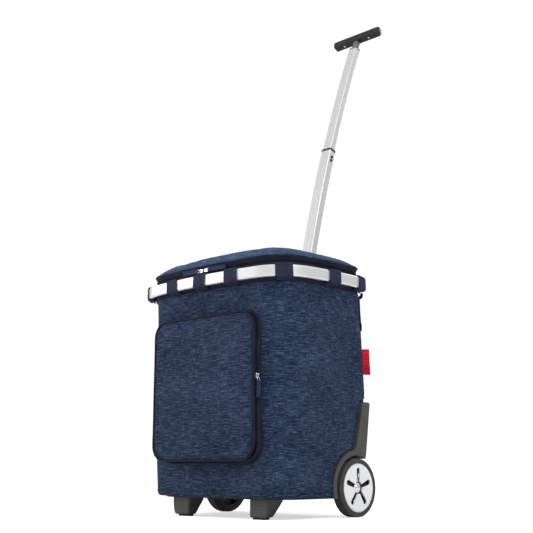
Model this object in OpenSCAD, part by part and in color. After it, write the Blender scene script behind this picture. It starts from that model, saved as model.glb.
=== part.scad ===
// Shopping trolley on wheels: rigid-framed fabric bag, two wheels, two feet, telescopic arc handle.
// Millimetres, +Z up. The front with the zipped pocket faces -Y, the handle is at the rear.

/* [Rim] */
// Depth of the rim centreline in front of the bag's middle
rim_front = 143; // [130:1:155]
// Radius of the bowed front run
rim_front_r = 1000; // [700:10:1400]
// Radius of the front corners
rim_corner_r = 74; // [60:1:95]
// Radius of the bowed side runs
rim_side_r = 660; // [500:10:900]
// Radius of the rear corners
rim_rear_r = 56; // [40:1:70]
// Height of the rim centreline above the floor
rim_z = 419; // [380:1:460]
// Height of the rim section
rim_h = 21; // [16:0.5:26]
// Thickness of the rim section
rim_t = 9; // [6:0.5:12]

/* [Bag] */
// Height of the bag's bottom
bag_z0 = 37.5; // [30:0.5:45]
// Height where the bag meets the rim's loops
bag_z1 = 399; // [370:1:410]
// Half width of the bag's bottom
bag_half_w = 176; // [160:1:185]
// Wall thickness of the bag with its lining
bag_wall = 3.2; // [2:0.2:6]
// Top of the lid
lid_top = 475; // [465:1:500]

/* [Pocket] */
// Half width of the pocket panel
pocket_hw = 126.5; // [110:0.5:135]
// Bottom of the pocket panel
pocket_z0 = 100; // [90:1:120]
// Top of the pocket panel
pocket_z1 = 352; // [320:1:365]
// Corner radius of the pocket panel
pocket_r = 27; // [15:1:40]
// How far the pocket's face stands in front of the bag's middle
pocket_y = 141; // [136:0.5:150]

/* [Wheels] */
// Wheel radius
wheel_r = 51.5; // [40:0.5:70]
// Wheel width
wheel_w = 21; // [16:0.5:30]
// Outer face of the wheel from the middle of the trolley
wheel_x = 174.7; // [165:0.1:185]
// Distance of the axle behind the bag's middle
axle_y = 86.9; // [75:0.1:95]
// Axle rod radius
axle_r = 4; // [3:0.5:6]

/* [Handle] */
// Radius of the handle's arc
arc_r = 3567; // [3000:1:4500]
// Height of the top of the middle stage
mid_top = 758.4; // [700:0.2:800]
// Height of the top of the upper stage
up_top = 1028; // [950:1:1080]
// Half length of the grip
grip_half = 63; // [50:1:75]

/* [Hidden] */
$fn = 48;
e = 0.01;
// the far centre of the handle's arc
hc_y = 3622;
hc_z = -340.3;
// rear to front extent of the whole trolley, for the origin under its middle
ext_front = -(rim_front + rim_t / 2 + 1.9);
ext_rear = 351.29;
shift_y = -(ext_front + ext_rear) / 2;
module at() translate([0, shift_y, 0]) children();
module both() { children(); mirror([1, 0, 0]) children(); }

// rim plan: tangent arcs, each [centre x, centre y, radius, start heading, end heading]
h1 = 7.6;
h2 = 82.2;
h3 = 93.6;
h4 = 177;
c1 = [0, -rim_front + rim_front_r];
p1 = c1 + rim_front_r * [sin(h1), -cos(h1)];
c2 = p1 + rim_corner_r * [-sin(h1), cos(h1)];
p2 = c2 + rim_corner_r * [sin(h2), -cos(h2)];
c3 = p2 + rim_side_r * [-sin(h2), cos(h2)];
p3 = c3 + rim_side_r * [sin(h3), -cos(h3)];
c4 = p3 + rim_rear_r * [-sin(h3), cos(h3)];
p4 = c4 + rim_rear_r * [sin(h4), -cos(h4)];
rear_r = p4[0] / sin(h4);
c5 = [0, p4[1] + rear_r * cos(h4)];
rim_back = c5[1] + rear_r;
rim_half_w = c3[0] + rim_side_r;
echo("rim half width", rim_half_w, "rim back", rim_back, "shift", shift_y);

function pt(c, r, h, o) = c + (r + o) * [sin(h), -cos(h)];
function run(c, r, a, b, n, o) = [for (i = [0:n - 1]) pt(c, r, a + (b - a) * i / n, o)];
function half_plan(o) = concat(
    run(c1, rim_front_r, 0, h1, 4, o), run(c2, rim_corner_r, h1, h2, 8, o),
    run(c3, rim_side_r, h2, h3, 3, o), run(c4, rim_rear_r, h3, h4, 8, o),
    run(c5, rear_r, h4, 180, 3, o));
function mirrored(p) = [for (i = [len(p) - 1:-1:1]) [-p[i][0], p[i][1]]];
function plan(o) = concat(half_plan(o), [pt(c5, rear_r, 180, o)], mirrored(half_plan(o)));

// one stretch of the rim's line, the section drawn with x outwards and y upwards
// a hair's gap between neighbouring stretches keeps each one a clean solid
function gap(r) = 0.02 / r * 57.3;
module stretch(c, r, a, b) translate([c[0], c[1], 0]) rotate([0, 0, a - 90 + gap(r)])
    rotate_extrude(angle = b - a - 2 * gap(r), $fn = 180) translate([r, 0]) children();
module front_run() stretch(c1, rim_front_r, -h1, h1) children();
module rear_run() stretch(c5, rear_r, h4, 360 - h4) children();
module side_runs() both() {
    stretch(c2, rim_corner_r, h1, h2) children();
    stretch(c3, rim_side_r, h2, h3) children();
    stretch(c4, rim_rear_r, h3, h4) children();
}
module round_rect(w, h, r) {
    square([w - 2 * r, h], center = true);
    square([w, h - 2 * r], center = true);
    for (x = [-1, 1], y = [-1, 1]) translate([x * (w / 2 - r), y * (h / 2 - r)]) circle(r, $fn = 24);
}

// the handle's arc
function ty(z) = hc_y - sqrt(arc_r * arc_r - (z - hc_z) * (z - hc_z));
function slope(z) = asin((z - hc_z) / arc_r);
module arc_run(z0, z1) translate([0, hc_y, hc_z]) rotate([0, 90, 0]) rotate([0, 0, 270 - slope(z1)])
    rotate_extrude(angle = slope(z1) - slope(z0), $fn = 1440) translate([arc_r, 0]) children();
module on_arc(z) translate([0, ty(z), z]) rotate([-slope(z), 0, 0]) children();
module tube_section(d, w, r, t) difference() {
    round_rect(d, w, r);
    round_rect(d - 2 * t, w - 2 * t, max(r - t, 0.6));
}
out_d = 22; out_w = 30; out_t = 1.4;
mid_d = 18.8; mid_w = 26.6; mid_t = 1.2;
up_d = 15.8; up_w = 22.8; up_t = 1.2;
out_z0 = 64; out_z1 = 442;
mid_z0 = 396; up_z0 = 714;

// ---------------------------------------------------------------- chassis
tray_z0 = 33.6; tray_z1 = 37.2;
module tray_outline() {
    difference() {
        union() {
            for (x = [-1, 1]) translate([x * 108, -46]) circle(56);
            translate([-108, -102]) square([216, 100]);
            translate([-164, -46]) square([328, 67.6]);
            translate([-145, 20]) square([290, 94]);
        }
    }
}
module chassis_tray() at() color([0.1, 0.1, 0.11]) difference() {
    union() {
        translate([0, 0, tray_z0]) linear_extrude(tray_z1 - tray_z0) tray_outline();
        translate([-145, 68, tray_z1 - e]) cube([290, 44, 22.8]);
    }
    // channel for the axle rod, open below
    translate([-150, axle_y - 7, tray_z0 - 1]) cube([300, 14, axle_rod_z() - tray_z0 + 1 + axle_r + 0.3]);
    // foot screws
    for (x = [-99, 99]) translate([x, -74, 30]) cylinder(r = 2.2, h = 12, $fn = 24);
}
function axle_rod_z() = wheel_r;
module tube_socket() at() color([0.1, 0.1, 0.11]) difference() {
    translate([-24, 70, 60]) cube([48, 38, 42]);
    arc_run(64 - 1, 140) round_rect(out_d + 0.4, out_w + 0.4, 5.2);
    translate([0, 60, 86]) rotate([-90, 0, 0]) cylinder(r = 2.2, h = 60, $fn = 24);
}
module foot_solid(g) intersection() {
    // side view: rear face leans forward, rounded toe
    translate([-130, 0, 0]) rotate([90, 0, 90]) linear_extrude(260) polygon([
        [-93.8 + g, 33.6], [-93.8 + g, 6 + g], [-92.6 + g, 3.4 + g], [-90 + g, 3 + g],
        [-78 - g, 3 + g], [-75.2 - g, 4.4 + g], [-73.6 - g, 7.5 + g], [-55.5 - g, 33.6]]);
    // front view: the outer side leans in
    translate([0, -40, 0]) rotate([90, 0, 0]) linear_extrude(60) polygon([
        [75 + g, 33.6], [77.6 + g, 5.5 + g], [80.5 + g, 3 + g], [111 - g, 3 + g], [114.5 - g, 5 + g],
        [116.5 - g, 9 + g], [123 - g, 33.6]]);
    // plan: rounded vertical edges
    translate([0, 0, 2]) linear_extrude(32) translate([99, -74.6]) round_rect(48 - 2 * g, 38.6 - 2 * g, 6);
}
module foot_shape() difference() {
    foot_solid(0);
    // hollow from above with a screw post
    difference() {
        translate([0, 0, 3]) foot_solid(3);
        translate([99, -76, 0]) cylinder(r = 6, h = 40);
    }
    translate([99, -74, -1]) cylinder(r = 2.2, h = 40, $fn = 24);
    translate([99, -76, 2]) linear_extrude(3) round_rect(26, 8, 3);
}
module sole_shape() intersection() {
    translate([99 - 4, -83.5, 0]) linear_extrude(3) round_rect(31, 14, 5);
    translate([99 - 4, -83.5, 0]) cube([40, 40, 8], center = true);
}
module foot_left() at() color([0.27, 0.27, 0.28]) mirror([1, 0, 0]) foot_shape();
module foot_right() at() color([0.27, 0.27, 0.28]) foot_shape();
module sole_left() at() color([0.08, 0.08, 0.08]) mirror([1, 0, 0]) sole_shape();
module sole_right() at() color([0.08, 0.08, 0.08]) sole_shape();
module axle() at() color([0.7, 0.7, 0.72]) translate([-167, axle_y, wheel_r]) rotate([0, 90, 0])
    cylinder(r = axle_r, h = 334);

// wheel arch with its cheek plate, axle saddle and the arm that runs up the bag's corner
arch_ro = 66.5; arch_ri = 57;
module in_wheel(x) translate([x, axle_y, wheel_r]) rotate([0, 90, 0]) children();
module arm_profile() polygon([[70, 100], [88, 127], [96, 156], [107.6, 199], [110, 203.2], [114, 205],
    [125, 205], [128.4, 203.6], [129, 200], [121.6, 150], [115.8, 112], [114, 105.6], [104, 104]]);
module arch_shape() difference() {
    union() {
        // rounded band over the wheel
        intersection() {
            in_wheel(150) difference() {
                cylinder(r = arch_ro, h = 21, $fn = 96);
                translate([0, 0, -1]) cylinder(r = arch_ri, h = 30, $fn = 96);
            }
            translate([140, 0, tray_z0]) rotate([90, 0, 90]) linear_extrude(40) polygon([
                [0, 0], [60, 0], [87, 16], [114, 71.6], [100, 100], [0, 100]]);
        }
        // cheek plate between wheel and bag
        intersection() {
            in_wheel(146) cylinder(r = arch_ro, h = 4.2, $fn = 96);
            translate([140, 0, tray_z0]) rotate([90, 0, 90]) linear_extrude(20) polygon([
                [15, 0], [113, 0], [113, 60], [114, 71.6], [104, 100], [15, 100]]);
        }
        // arm
        intersection() {
            translate([160, 0, 0]) rotate([90, 0, 90]) linear_extrude(11) arm_profile();
            translate([150, 60, 100]) cube([40, 100, 110]);
        }
        // bearing boss
        in_wheel(146) cylinder(r = 11, h = 6);
    }
    in_wheel(130) cylinder(r = axle_r + 0.05, h = 40);
    // room for the wheel
    in_wheel(152.2) cylinder(r = arch_ri, h = 30, $fn = 96);
}
module arch_right() at() color([0.27, 0.27, 0.28]) arch_shape();
module arch_left() at() color([0.27, 0.27, 0.28]) mirror([1, 0, 0]) arch_shape();

// ---------------------------------------------------------------- wheels
module tyre_shape() in_wheel(wheel_x - wheel_w) rotate_extrude($fn = 96) difference() {
    translate([43, 0]) union() {
        square([wheel_r - 43 - 3, wheel_w]);
        translate([0, 3]) square([wheel_r - 43, wheel_w - 6]);
        translate([wheel_r - 46, 3]) circle(3, $fn = 24);
        translate([wheel_r - 46, wheel_w - 3]) circle(3, $fn = 24);
    }
    for (k = [0.32, 0.5, 0.68]) translate([wheel_r - 0.6, wheel_w * k - 0.6]) square([2, 1.2]);
}
module core_shape() difference() {
    union() {
        in_wheel(wheel_x - wheel_w + 1) difference() {
            cylinder(r = 42.9, h = 17.4, $fn = 72);
            translate([0, 0, -1]) cylinder(r = 38.5, h = 30, $fn = 72);
        }
        in_wheel(wheel_x - wheel_w + 1.5) cylinder(r = 11, h = 13.6);
        for (a = [0:72:359]) in_wheel(wheel_x - wheel_w + 5) rotate([0, 0, a + 36]) translate([8, -3.5, 0])
            cube([32, 7, 8]);
        in_wheel(wheel_x - wheel_w + 11.5) difference() {
            cylinder(r = 40, h = 2.5, $fn = 72);
            for (a = [0:72:359]) rotate([0, 0, a]) translate([26, 0, -1]) cylinder(r = 7, h = 8);
        }
    }
    in_wheel(140) cylinder(r = axle_r + 0.05, h = 40);
}
module disc_shape() in_wheel(wheel_x - 2.6) difference() {
    union() {
        cylinder(r = 42.6, h = 1.6, $fn = 72);
        cylinder(r = 40.8, h = 2.4, $fn = 72);
    }
    for (a = [0:72:359]) rotate([0, 0, a + 180]) translate([0, 0, -1]) linear_extrude(8) union() {
        translate([13, 0]) circle(3.6, $fn = 24);
        translate([30.6, 0]) circle(4.8, $fn = 24);
        polygon([[13, -3.6], [30.6, -4.8], [30.6, 4.8], [13, 3.6]]);
    }
    translate([0, 0, -1]) cylinder(r = 11.2, h = 8);
}
module hub_shape() in_wheel(wheel_x - 5.8) difference() {
    union() {
        cylinder(r = 8.8, h = 2.4);
        intersection() {
            cylinder(r = 7.2, h = 7);
            translate([0, 0, -4.2]) sphere(r = 10.4, $fn = 64);
        }
    }
    translate([0, 0, -12 + 1.0]) cylinder(r = axle_r + 0.2, h = 11);
}
module washer_shape() in_wheel(152.5) difference() {
    cylinder(r = 8, h = 1.6);
    translate([0, 0, -1]) cylinder(r = axle_r + 0.1, h = 5);
}
module tyre_right() at() color([0.22, 0.22, 0.22]) tyre_shape();
module tyre_left() at() color([0.22, 0.22, 0.22]) mirror([1, 0, 0]) tyre_shape();
module wheel_core_right() at() color([0.07, 0.07, 0.07]) core_shape();
module wheel_core_left() at() color([0.07, 0.07, 0.07]) mirror([1, 0, 0]) core_shape();
module wheel_disc_right() at() color([0.85, 0.86, 0.88]) disc_shape();
module wheel_disc_left() at() color([0.85, 0.86, 0.88]) mirror([1, 0, 0]) disc_shape();
module hub_cap_right() at() color([0.8, 0.8, 0.82]) hub_shape();
module hub_cap_left() at() color([0.8, 0.8, 0.82]) mirror([1, 0, 0]) hub_shape();
module axle_washers() at() color([0.6, 0.6, 0.62]) both() washer_shape();

// ---------------------------------------------------------------- handle
module outer_tube() at() color([0.75, 0.76, 0.78]) arc_run(out_z0, out_z1)
    tube_section(out_d, out_w, 5, out_t);
module outer_collar() at() color([0.1, 0.1, 0.11]) difference() {
    arc_run(out_z1 - 10, out_z1 + 5) round_rect(out_d + 4, out_w + 4, 6);
    arc_run(out_z1 - 14, out_z1) round_rect(out_d + 0.1, out_w + 0.1, 5);
    arc_run(out_z1 - 14, out_z1 + 7) round_rect(mid_d + 0.5, mid_w + 0.5, 4.4);
}
module middle_tube() at() color([0.8, 0.81, 0.83]) difference() {
    arc_run(mid_z0, mid_top) tube_section(mid_d, mid_w, 4.2, mid_t);
    for (d = [17, 25.4]) snap_pocket(d, 3.15, 30);
    // shallow groove down the front and back faces
    arc_run(mid_z0 - 1, mid_top + 1) for (s = [-1, 1]) translate([s * (mid_d / 2 + 0.1), 0])
        square([0.7, 4], center = true);
}
module snap_pocket(d, r, h) on_arc(mid_top) translate([0, 0, -d]) rotate([0, 90, 0]) cylinder(r = r, h = h);
module middle_collar() at() color([0.12, 0.12, 0.13]) difference() {
    arc_run(mid_top - 1.6, mid_top + 2.2) round_rect(mid_d + 1.6, mid_w + 1.6, 4.8);
    arc_run(mid_top - 4, mid_top) round_rect(mid_d + 0.1, mid_w + 0.1, 4.2);
    arc_run(mid_top - 6, mid_top + 4) round_rect(up_d + 0.5, up_w + 0.5, 3.6);
}
module middle_guide() at() color([0.15, 0.15, 0.16]) difference() {
    arc_run(mid_z0 - 14, mid_z0) round_rect(mid_d - 0.2, mid_w - 0.2, 4);
    arc_run(mid_z0 - 16, mid_z0 + 2) round_rect(up_d + 0.5, up_w - 0.5, 3.4);
}
module snap_shape(d) intersection() {
    on_arc(mid_top) translate([0, 0, -d]) rotate([0, 90, 0]) cylinder(r = 3, h = 30);
    translate([mid_w / 2 - 1.15, -900, 0]) cube([2.55, 2000, 2000]);
}
module snap_button_upper() at() color([0.08, 0.08, 0.08]) snap_shape(17);
module snap_button_lower() at() color([0.08, 0.08, 0.08]) snap_shape(25.4);
module upper_tube() at() color([0.82, 0.83, 0.85]) difference() {
    arc_run(up_z0, up_top) tube_section(up_d, up_w, 3.6, up_t);
    arc_run(up_z0 - 1, up_top + 1) for (s = [-1, 1]) translate([s * (up_d / 2 + 0.1), 0])
        square([0.7, 4], center = true);
}
module upper_guide() at() color([0.15, 0.15, 0.16]) difference() {
    arc_run(up_z0 - 12, up_z0) round_rect(up_d - 0.2, up_w - 0.2, 3.4);
    arc_run(up_z0 - 14, up_z0 + 2) round_rect(up_d - 6, up_w - 6, 2.4);
}
grip_y = 340.9; grip_z = 1062;
grip_tilt = 21;
module at_grip() translate([0, grip_y, grip_z]) rotate([-grip_tilt, 0, 0]) children();
module grip_stem() at() color([0.2, 0.2, 0.21]) union() {
    // plug in the upper tube
    arc_run(up_top - 22, up_top) round_rect(up_d - 2 * up_t - 0.1, up_w - 2 * up_t - 0.1, 2.3);
    arc_run(up_top, up_top + 3) round_rect(up_d + 0.4, up_w + 0.4, 3.6);
    // neck
    translate([0, 0.5, 0]) on_arc(up_top + 2.5) linear_extrude(30) round_rect(13.5, 12.5, 4);
    // bar inside the grip
    at_grip() translate([-58, 0, 0]) rotate([0, 90, 0]) cylinder(r = 5.4, h = 116);
}
module grip_section() difference() {
    union() {
        circle(10.4, $fn = 64);
        translate([2.4, 0]) circle(10.2, $fn = 64);
    }
    translate([10.2, -20]) square([10, 40]);
}
module grip_shell() at() color([0.06, 0.06, 0.07]) difference() {
    at_grip() translate([-grip_half + 3.2, 0, 0]) rotate([0, 90, 0]) linear_extrude(2 * grip_half - 6.4)
        grip_section();
    at_grip() translate([-60, 0, 0]) rotate([0, 90, 0]) cylinder(r = 5.5, h = 120);
    translate([0, 0.5, 0]) on_arc(up_top + 2.5) linear_extrude(60 - 29) round_rect(13.9, 12.9, 4);
    for (x = [-35, 35]) at_grip() translate([x, 0, -20]) cylinder(r = 2.6, h = 16, $fn = 24);
}
module grip_end_caps() at() color([0.05, 0.05, 0.06]) both() difference() {
    at_grip() translate([grip_half - 3.1, 0, 0]) rotate([0, 90, 0]) union() {
        linear_extrude(1.4) grip_section();
        intersection() {
            linear_extrude(3.1) grip_section();
            translate([1.2, 0, -18]) sphere(r = 21.1, $fn = 64);
        }
    }
    at_grip() translate([-60, 0, 0]) rotate([0, 90, 0]) cylinder(r = 5.5, h = 119.5);
}
module grip_screws() at() color([0.5, 0.5, 0.52]) for (x = [-35, 35]) at_grip() translate([x, 0, 0])
    difference() {
        union() {
            translate([0, 0, -9.9]) cylinder(r = 2.5, h = 1.6, $fn = 24);
            translate([0, 0, -9]) cylinder(r = 1.2, h = 3.5, $fn = 24);
        }
        translate([0, 0, -10.2]) cube([3.2, 0.7, 1.2], center = true);
        translate([0, 0, -10.2]) cube([0.7, 3.2, 1.2], center = true);
    }

// ---------------------------------------------------------------- rim and webbing
module rim_section() translate([0, rim_z]) round_rect(rim_t, rim_h, 3.2);
module rim_frame() at() color([0.83, 0.84, 0.86]) union() {
    front_run() rim_section();
    rear_run() rim_section();
    side_runs() rim_section();
}
clamp_x = 26;
module rim_clamp() at() color([0.12, 0.12, 0.13]) difference() {
    union() {
        // block over the rim
        translate([-clamp_x, rim_back - 9, rim_z - 15]) cube([2 * clamp_x, 18, 29]);
        // collar round the tube
        intersection() {
            union() {
                translate([-clamp_x, rim_back - 9, rim_z - 20]) cube([2 * clamp_x, 21, 40]);
                arc_run(rim_z - 40, rim_z + 40) round_rect(out_d + 9, out_w + 10, 7);
            }
            translate([-60, 90, rim_z - 15]) cube([120, 100, 22.6]);
        }
    }
    // the rim sits in a slot open below
    rear_run() translate([0, rim_z - 15]) square([rim_t + 0.3, rim_h + 30.3], center = true);
    arc_run(rim_z - 60, rim_z + 60) round_rect(out_d + 0.2, out_w + 0.2, 5);
}
module frame_screws() at() color([0.55, 0.55, 0.57]) union() {
    for (x = [-99, 99]) translate([x, -74, 4.9]) union() {
        cylinder(r = 2.0, h = 31.6, $fn = 24);
        translate([0, 0, -1.6]) cylinder(r = 3.6, h = 1.7, $fn = 24);
    }
    for (z = [-9, 3]) on_arc(rim_z + z) translate([0, out_d / 2 + 4.5, 0]) rotate([-90, 0, 0]) difference() {
        cylinder(r = 3.2, h = 2, $fn = 24);
        translate([0, 0, 1.8]) cube([4.4, 0.9, 1.4], center = true);
    }
}
loop_t = 1.6;
module loop_section() translate([0, rim_z]) union() {
    difference() {
        round_rect(rim_t + 0.6 + 2 * loop_t, rim_h + 1.4 + 2 * loop_t, 3.6);
        round_rect(rim_t + 0.6, rim_h + 1.4, 2.4);
    }
    translate([-rim_t / 2 - 0.3 - loop_t - 0.6, -rim_h / 2 - 15]) square([loop_t + 0.3, 17]);
}
loop_w = 29;
module loop_on(c, r, h) stretch(c, r, h - loop_w / r * 28.648, h + loop_w / r * 28.648) loop_section();
module loops_front() at() color([0.16, 0.18, 0.34])
    for (x = [-78, 0, 78]) loop_on(c1, rim_front_r, asin(x / rim_front_r));
module loops_corner() at() color([0.16, 0.18, 0.34]) both() loop_on(c2, rim_corner_r, 46);
module loops_side() at() color([0.16, 0.18, 0.34]) both() loop_on(c3, rim_side_r, 87.6);
module loops_rear() at() color([0.16, 0.18, 0.34]) both() {
    loop_on(c4, rim_rear_r, 108);
    loop_on(c5, rear_r, h4 + 0.5);
}

// ---------------------------------------------------------------- bag
module slab(z, p) translate([0, 0, z]) linear_extrude(0.1) polygon(p);
function arc_pts(cx, cy, r, a, b, n) = [for (i = [0:n]) [cx + r * cos(a + (b - a) * i / n), cy + r * sin(a + (b - a) * i / n)]];
// plan of the bag low down: wide soft front corners, tighter rear corners nearer together
function low_half(w, f, rf, wr, b, rr) = concat(
    arc_pts(w - rf, -f + rf, rf, -90, -4, 7), arc_pts(wr - rr, b - rr, rr, 8, 90, 4));
function low_plan(w, f, rf, wr, b, rr) = let (h = low_half(w, f, rf, wr, b, rr))
    concat(h, [for (i = [len(h) - 1:-1:0]) [-h[i][0], h[i][1]]]);
function inset(o) = low_plan(bag_half_w - o, 115 - o, 55 - o * 0.8, 161 - o, 118 - o, 12);
function belly(o) = low_plan(185 - o, 124 - o, 66 - o * 0.8, 162 - o, 133 - o, 14);
module bag_hull(o, z0, z1) hull() {
    slab(z0, inset(o + 5));
    slab(z0 + 5.5, inset(o));
    slab(225, belly(o));
    slab(z1 - 0.1, plan(-8 - o));
}
module arch_room(o) both() {
    in_wheel(145.6 - o) cylinder(r = arch_ro + 0.6 + o, h = 60, $fn = 96);
    translate([159.6 - o, 0, 0]) rotate([90, 0, 90]) linear_extrude(40) polygon([[64 - o, 90], [86.6 - o, 127],
        [106.6 - o, 200], [111, 206 + o], [140, 206 + o], [140, 90]]);
}
// the front is drawn flat behind the pocket
pocket_seat = 126.2;
module bag_shape(o, z0, z1) difference() {
    bag_hull(o, z0, z1);
    pocket_slice(pocket_seat - o, 200) pocket_outline(3 + o);
}
module bag_body() at() color([0.18, 0.26, 0.42]) difference() {
    bag_shape(0, bag_z0, bag_z1);
    difference() {
        bag_shape(bag_wall, bag_z0 + bag_wall, bag_z1 + 4);
        arch_room(bag_wall);
    }
    arch_room(0);
    // opening round the axle beam
    translate([-146, 66, bag_z0 - 5]) cube([292, 48, 29]);
    // the tube leaves through a bound slot high on the back
    arc_run(120, 460) translate([-2, 0]) round_rect(out_d + 8, out_w + 4, 5);
}
module base_board() at() color([0.12, 0.12, 0.13]) translate([0, 0, bag_z0 + bag_wall + 0.4])
    linear_extrude(3) polygon(concat(arc_pts(116, -62, 45, -90, -2, 6), [[160, 13.5], [141.6, 13.5], [141.6, 56],
    [-141.6, 56], [-141.6, 13.5], [-160, 13.5]], [for (p = arc_pts(-116, -62, 45, 182, 270, 6)) p]));
// stiff board that keeps the load off the handle's tube
module back_board() at() color([0.13, 0.14, 0.2]) difference() {
    arc_run(80, 350) translate([out_d / 2 + 3.2, 0]) square([2.2, 288], center = true);
    arch_room(bag_wall + 1);
}
module back_panel() at() color([0.05, 0.05, 0.06]) difference() {
    translate([0, 0, 338]) linear_extrude(55) difference() {
        polygon(plan(-4.4));
        polygon(plan(-7.6));
        translate([-300, -300]) square([600, 372]);
    }
    hull() {
        slab(330, belly(-12));
        slab(331, belly(-12));
        slab(332, plan(-7));
        slab(400, plan(-7));
    }
}
// bound edge and zip tapes above the rim
tape_z0 = 404; tape_mid = 440; tape_z1 = 450;
module zip_tape_lower() at() color([0.1, 0.11, 0.22]) union() {
    front_run() translate([-13.3, tape_z0]) square([2, tape_mid - 2.2 - tape_z0]);
    side_runs() translate([-13.3, tape_z0]) square([2, tape_mid - 2.2 - tape_z0]);
    rear_run() translate([-13.3, tape_z0]) square([2, tape_mid - 2.2 - tape_z0]);
}
module zip_teeth_lower() at() color([0.07, 0.07, 0.12]) union() {
    front_run() translate([-13.5, tape_mid - 2.2]) square([2.4, 2]);
    side_runs() translate([-13.5, tape_mid - 2.2]) square([2.4, 2]);
}
module zip_teeth_upper() at() color([0.07, 0.07, 0.12]) union() {
    front_run() translate([-13.5, tape_mid + 0.2]) square([2.4, 2]);
    side_runs() translate([-13.5, tape_mid + 0.2]) square([2.4, 2]);
}
module zip_tape_upper() at() color([0.1, 0.11, 0.22]) union() {
    front_run() translate([-13.3, tape_mid + 2.2]) square([2, tape_z1 - tape_mid - 2.2]);
    side_runs() translate([-13.3, tape_mid + 2.2]) square([2, tape_z1 - tape_mid - 2.2]);
    rear_run() translate([-13.3, tape_mid + 0.2]) square([2, tape_z1 - tape_mid - 0.2]);
}
lid_c = -16;
function shrink(p, s) = [for (q = p) [q[0] * s, lid_c + (q[1] - lid_c) * s]];
// Height of the low dome over the lid's outline drawn in by the scale s
function dome_z(s) = lid_top - 27 + 27 * pow(1 - pow(s, 6), 0.8);
module lid_hull(o) hull() {
    slab(tape_z1, plan(-9 - o));
    for (s = [0.975, 0.94, 0.88, 0.8, 0.7, 0.55])
        slab(dome_z(s) - o * 0.95, shrink(plan(-9 - o * 0.5), s));
    slab(lid_top - 0.2 - o, shrink(plan(-9), 0.3));
}
module lid_panel() at() color([0.22, 0.31, 0.48]) difference() {
    lid_hull(0);
    translate([0, 0, -e]) lid_hull(3);
}
// sliders stand on the front of the zip, their pulls hang outwards along it
zip_y = -rim_front + 11.3;
module slider_body(w, h, d) difference() {
    union() {
        cube([w, d, h], center = true);
        translate([0, -d / 2 - 0.6, 0]) cube([w * 0.62, 1.4, h * 0.5], center = true);
    }
    translate([0, -d / 2 - 0.1, 0]) cube([w, 1.2, h * 0.26], center = true);
}
module lid_slider_left() at() color([0.8, 0.8, 0.82]) translate([-8.5, zip_y - 1.9, tape_mid])
    slider_body(9, 7, 2.6);
module lid_slider_right() at() color([0.8, 0.8, 0.82]) translate([4.5, zip_y - 1.9, tape_mid])
    slider_body(9, 7, 2.6);
module pull_shape(l, w, t) union() {
    translate([5, -t / 2, -w / 2]) cube([l - 5, t, w]);
    difference() {
        translate([-1, -t / 2 - 0.2, -w * 0.36]) cube([8, t + 0.4, w * 0.72]);
        translate([0.6, -5, -w * 0.2]) cube([3.4, 10, w * 0.4]);
    }
}
module lid_pull_left() at() color([0.2, 0.23, 0.42]) translate([-13.6, zip_y - 4.6, tape_mid])
    rotate([0, 0, 178]) pull_shape(44, 8.5, 1.6);
module lid_pull_right() at() color([0.2, 0.23, 0.42]) translate([9.6, zip_y - 4.6, tape_mid])
    rotate([0, 0, 2]) pull_shape(44, 8.5, 1.6);

// ---------------------------------------------------------------- pocket
module pocket_outline(o) translate([0, (pocket_z0 + pocket_z1) / 2])
    round_rect(2 * (pocket_hw + o), pocket_z1 - pocket_z0 + 2 * o, pocket_r + o);
// a slice of the pocket between two depths in front of the bag's middle
module pocket_slice(y0, y1) translate([0, -y0, 0]) rotate([90, 0, 0]) linear_extrude(y1 - y0) children();
module pocket_ring(y0, y1, o, t) difference() {
    pocket_slice(y0, y1) pocket_outline(o);
    pocket_slice(y0 - 1, y1 + 1) pocket_outline(o - t);
}
module pocket_panel() at() color([0.19, 0.27, 0.44]) union() {
    pocket_slice(pocket_y - 2.4, pocket_y) pocket_outline(0);
    // piping round the edge
    pocket_ring(pocket_y - 2.6, pocket_y + 0.6, 1.6, 1.7);
}
module pocket_tape_panel() at() color([0.1, 0.11, 0.22])
    pocket_ring(pocket_y - 9.4, pocket_y - 2.6, 1.4, 1.4);
module pocket_teeth_panel() at() color([0.07, 0.07, 0.12]) difference() {
    pocket_ring(pocket_y - 11.2, pocket_y - 9.4, 1.8, 2);
    translate([-300, -300, 0]) cube([600, 600, pocket_z0 + 24]);
}
module pocket_teeth_bag() at() color([0.07, 0.07, 0.12]) difference() {
    pocket_ring(pocket_y - 13.4, pocket_y - 11.6, 1.8, 2);
    translate([-300, -300, 0]) cube([600, 600, pocket_z0 + 24]);
}
module pocket_tape_bag() at() color([0.1, 0.11, 0.22]) difference() {
    pocket_ring(90, pocket_y - 13.4, 1.4, 1.4);
    bag_shape(-0.3, bag_z0, bag_z1);
    translate([-300, -100, 0]) cube([600, 600, 600]);
}
zip_x = pocket_hw + 1.8;
pslide_z = 240;
pslide_y = -(pocket_y - 11.4);
module pocket_slider() at() color([0.8, 0.8, 0.82]) translate([zip_x + 1.8, pslide_y, pslide_z])
    rotate([0, 0, 90]) rotate([0, 90, 0]) slider_body(9.5, 7, 2.6);
module pocket_pull() at() color([0.2, 0.23, 0.42]) translate([zip_x + 4.5, pslide_y, pslide_z - 5.2])
    rotate([0, 90, 0]) rotate([0, 0, 0]) rotate([90, 0, 0]) pull_shape(33, 8.5, 1.6);
// folded label sewn into the seam at the rear of the right side, leaning with the seam
module side_tag() at() color([0.75, 0.06, 0.1]) difference() {
    translate([166.6, 114.4, 279.5]) rotate([16.1, 0, 36.9]) translate([-2.5, -0.6, -23]) cube([17, 1.2, 46]);
    bag_hull(0, bag_z0, bag_z1);
}

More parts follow.
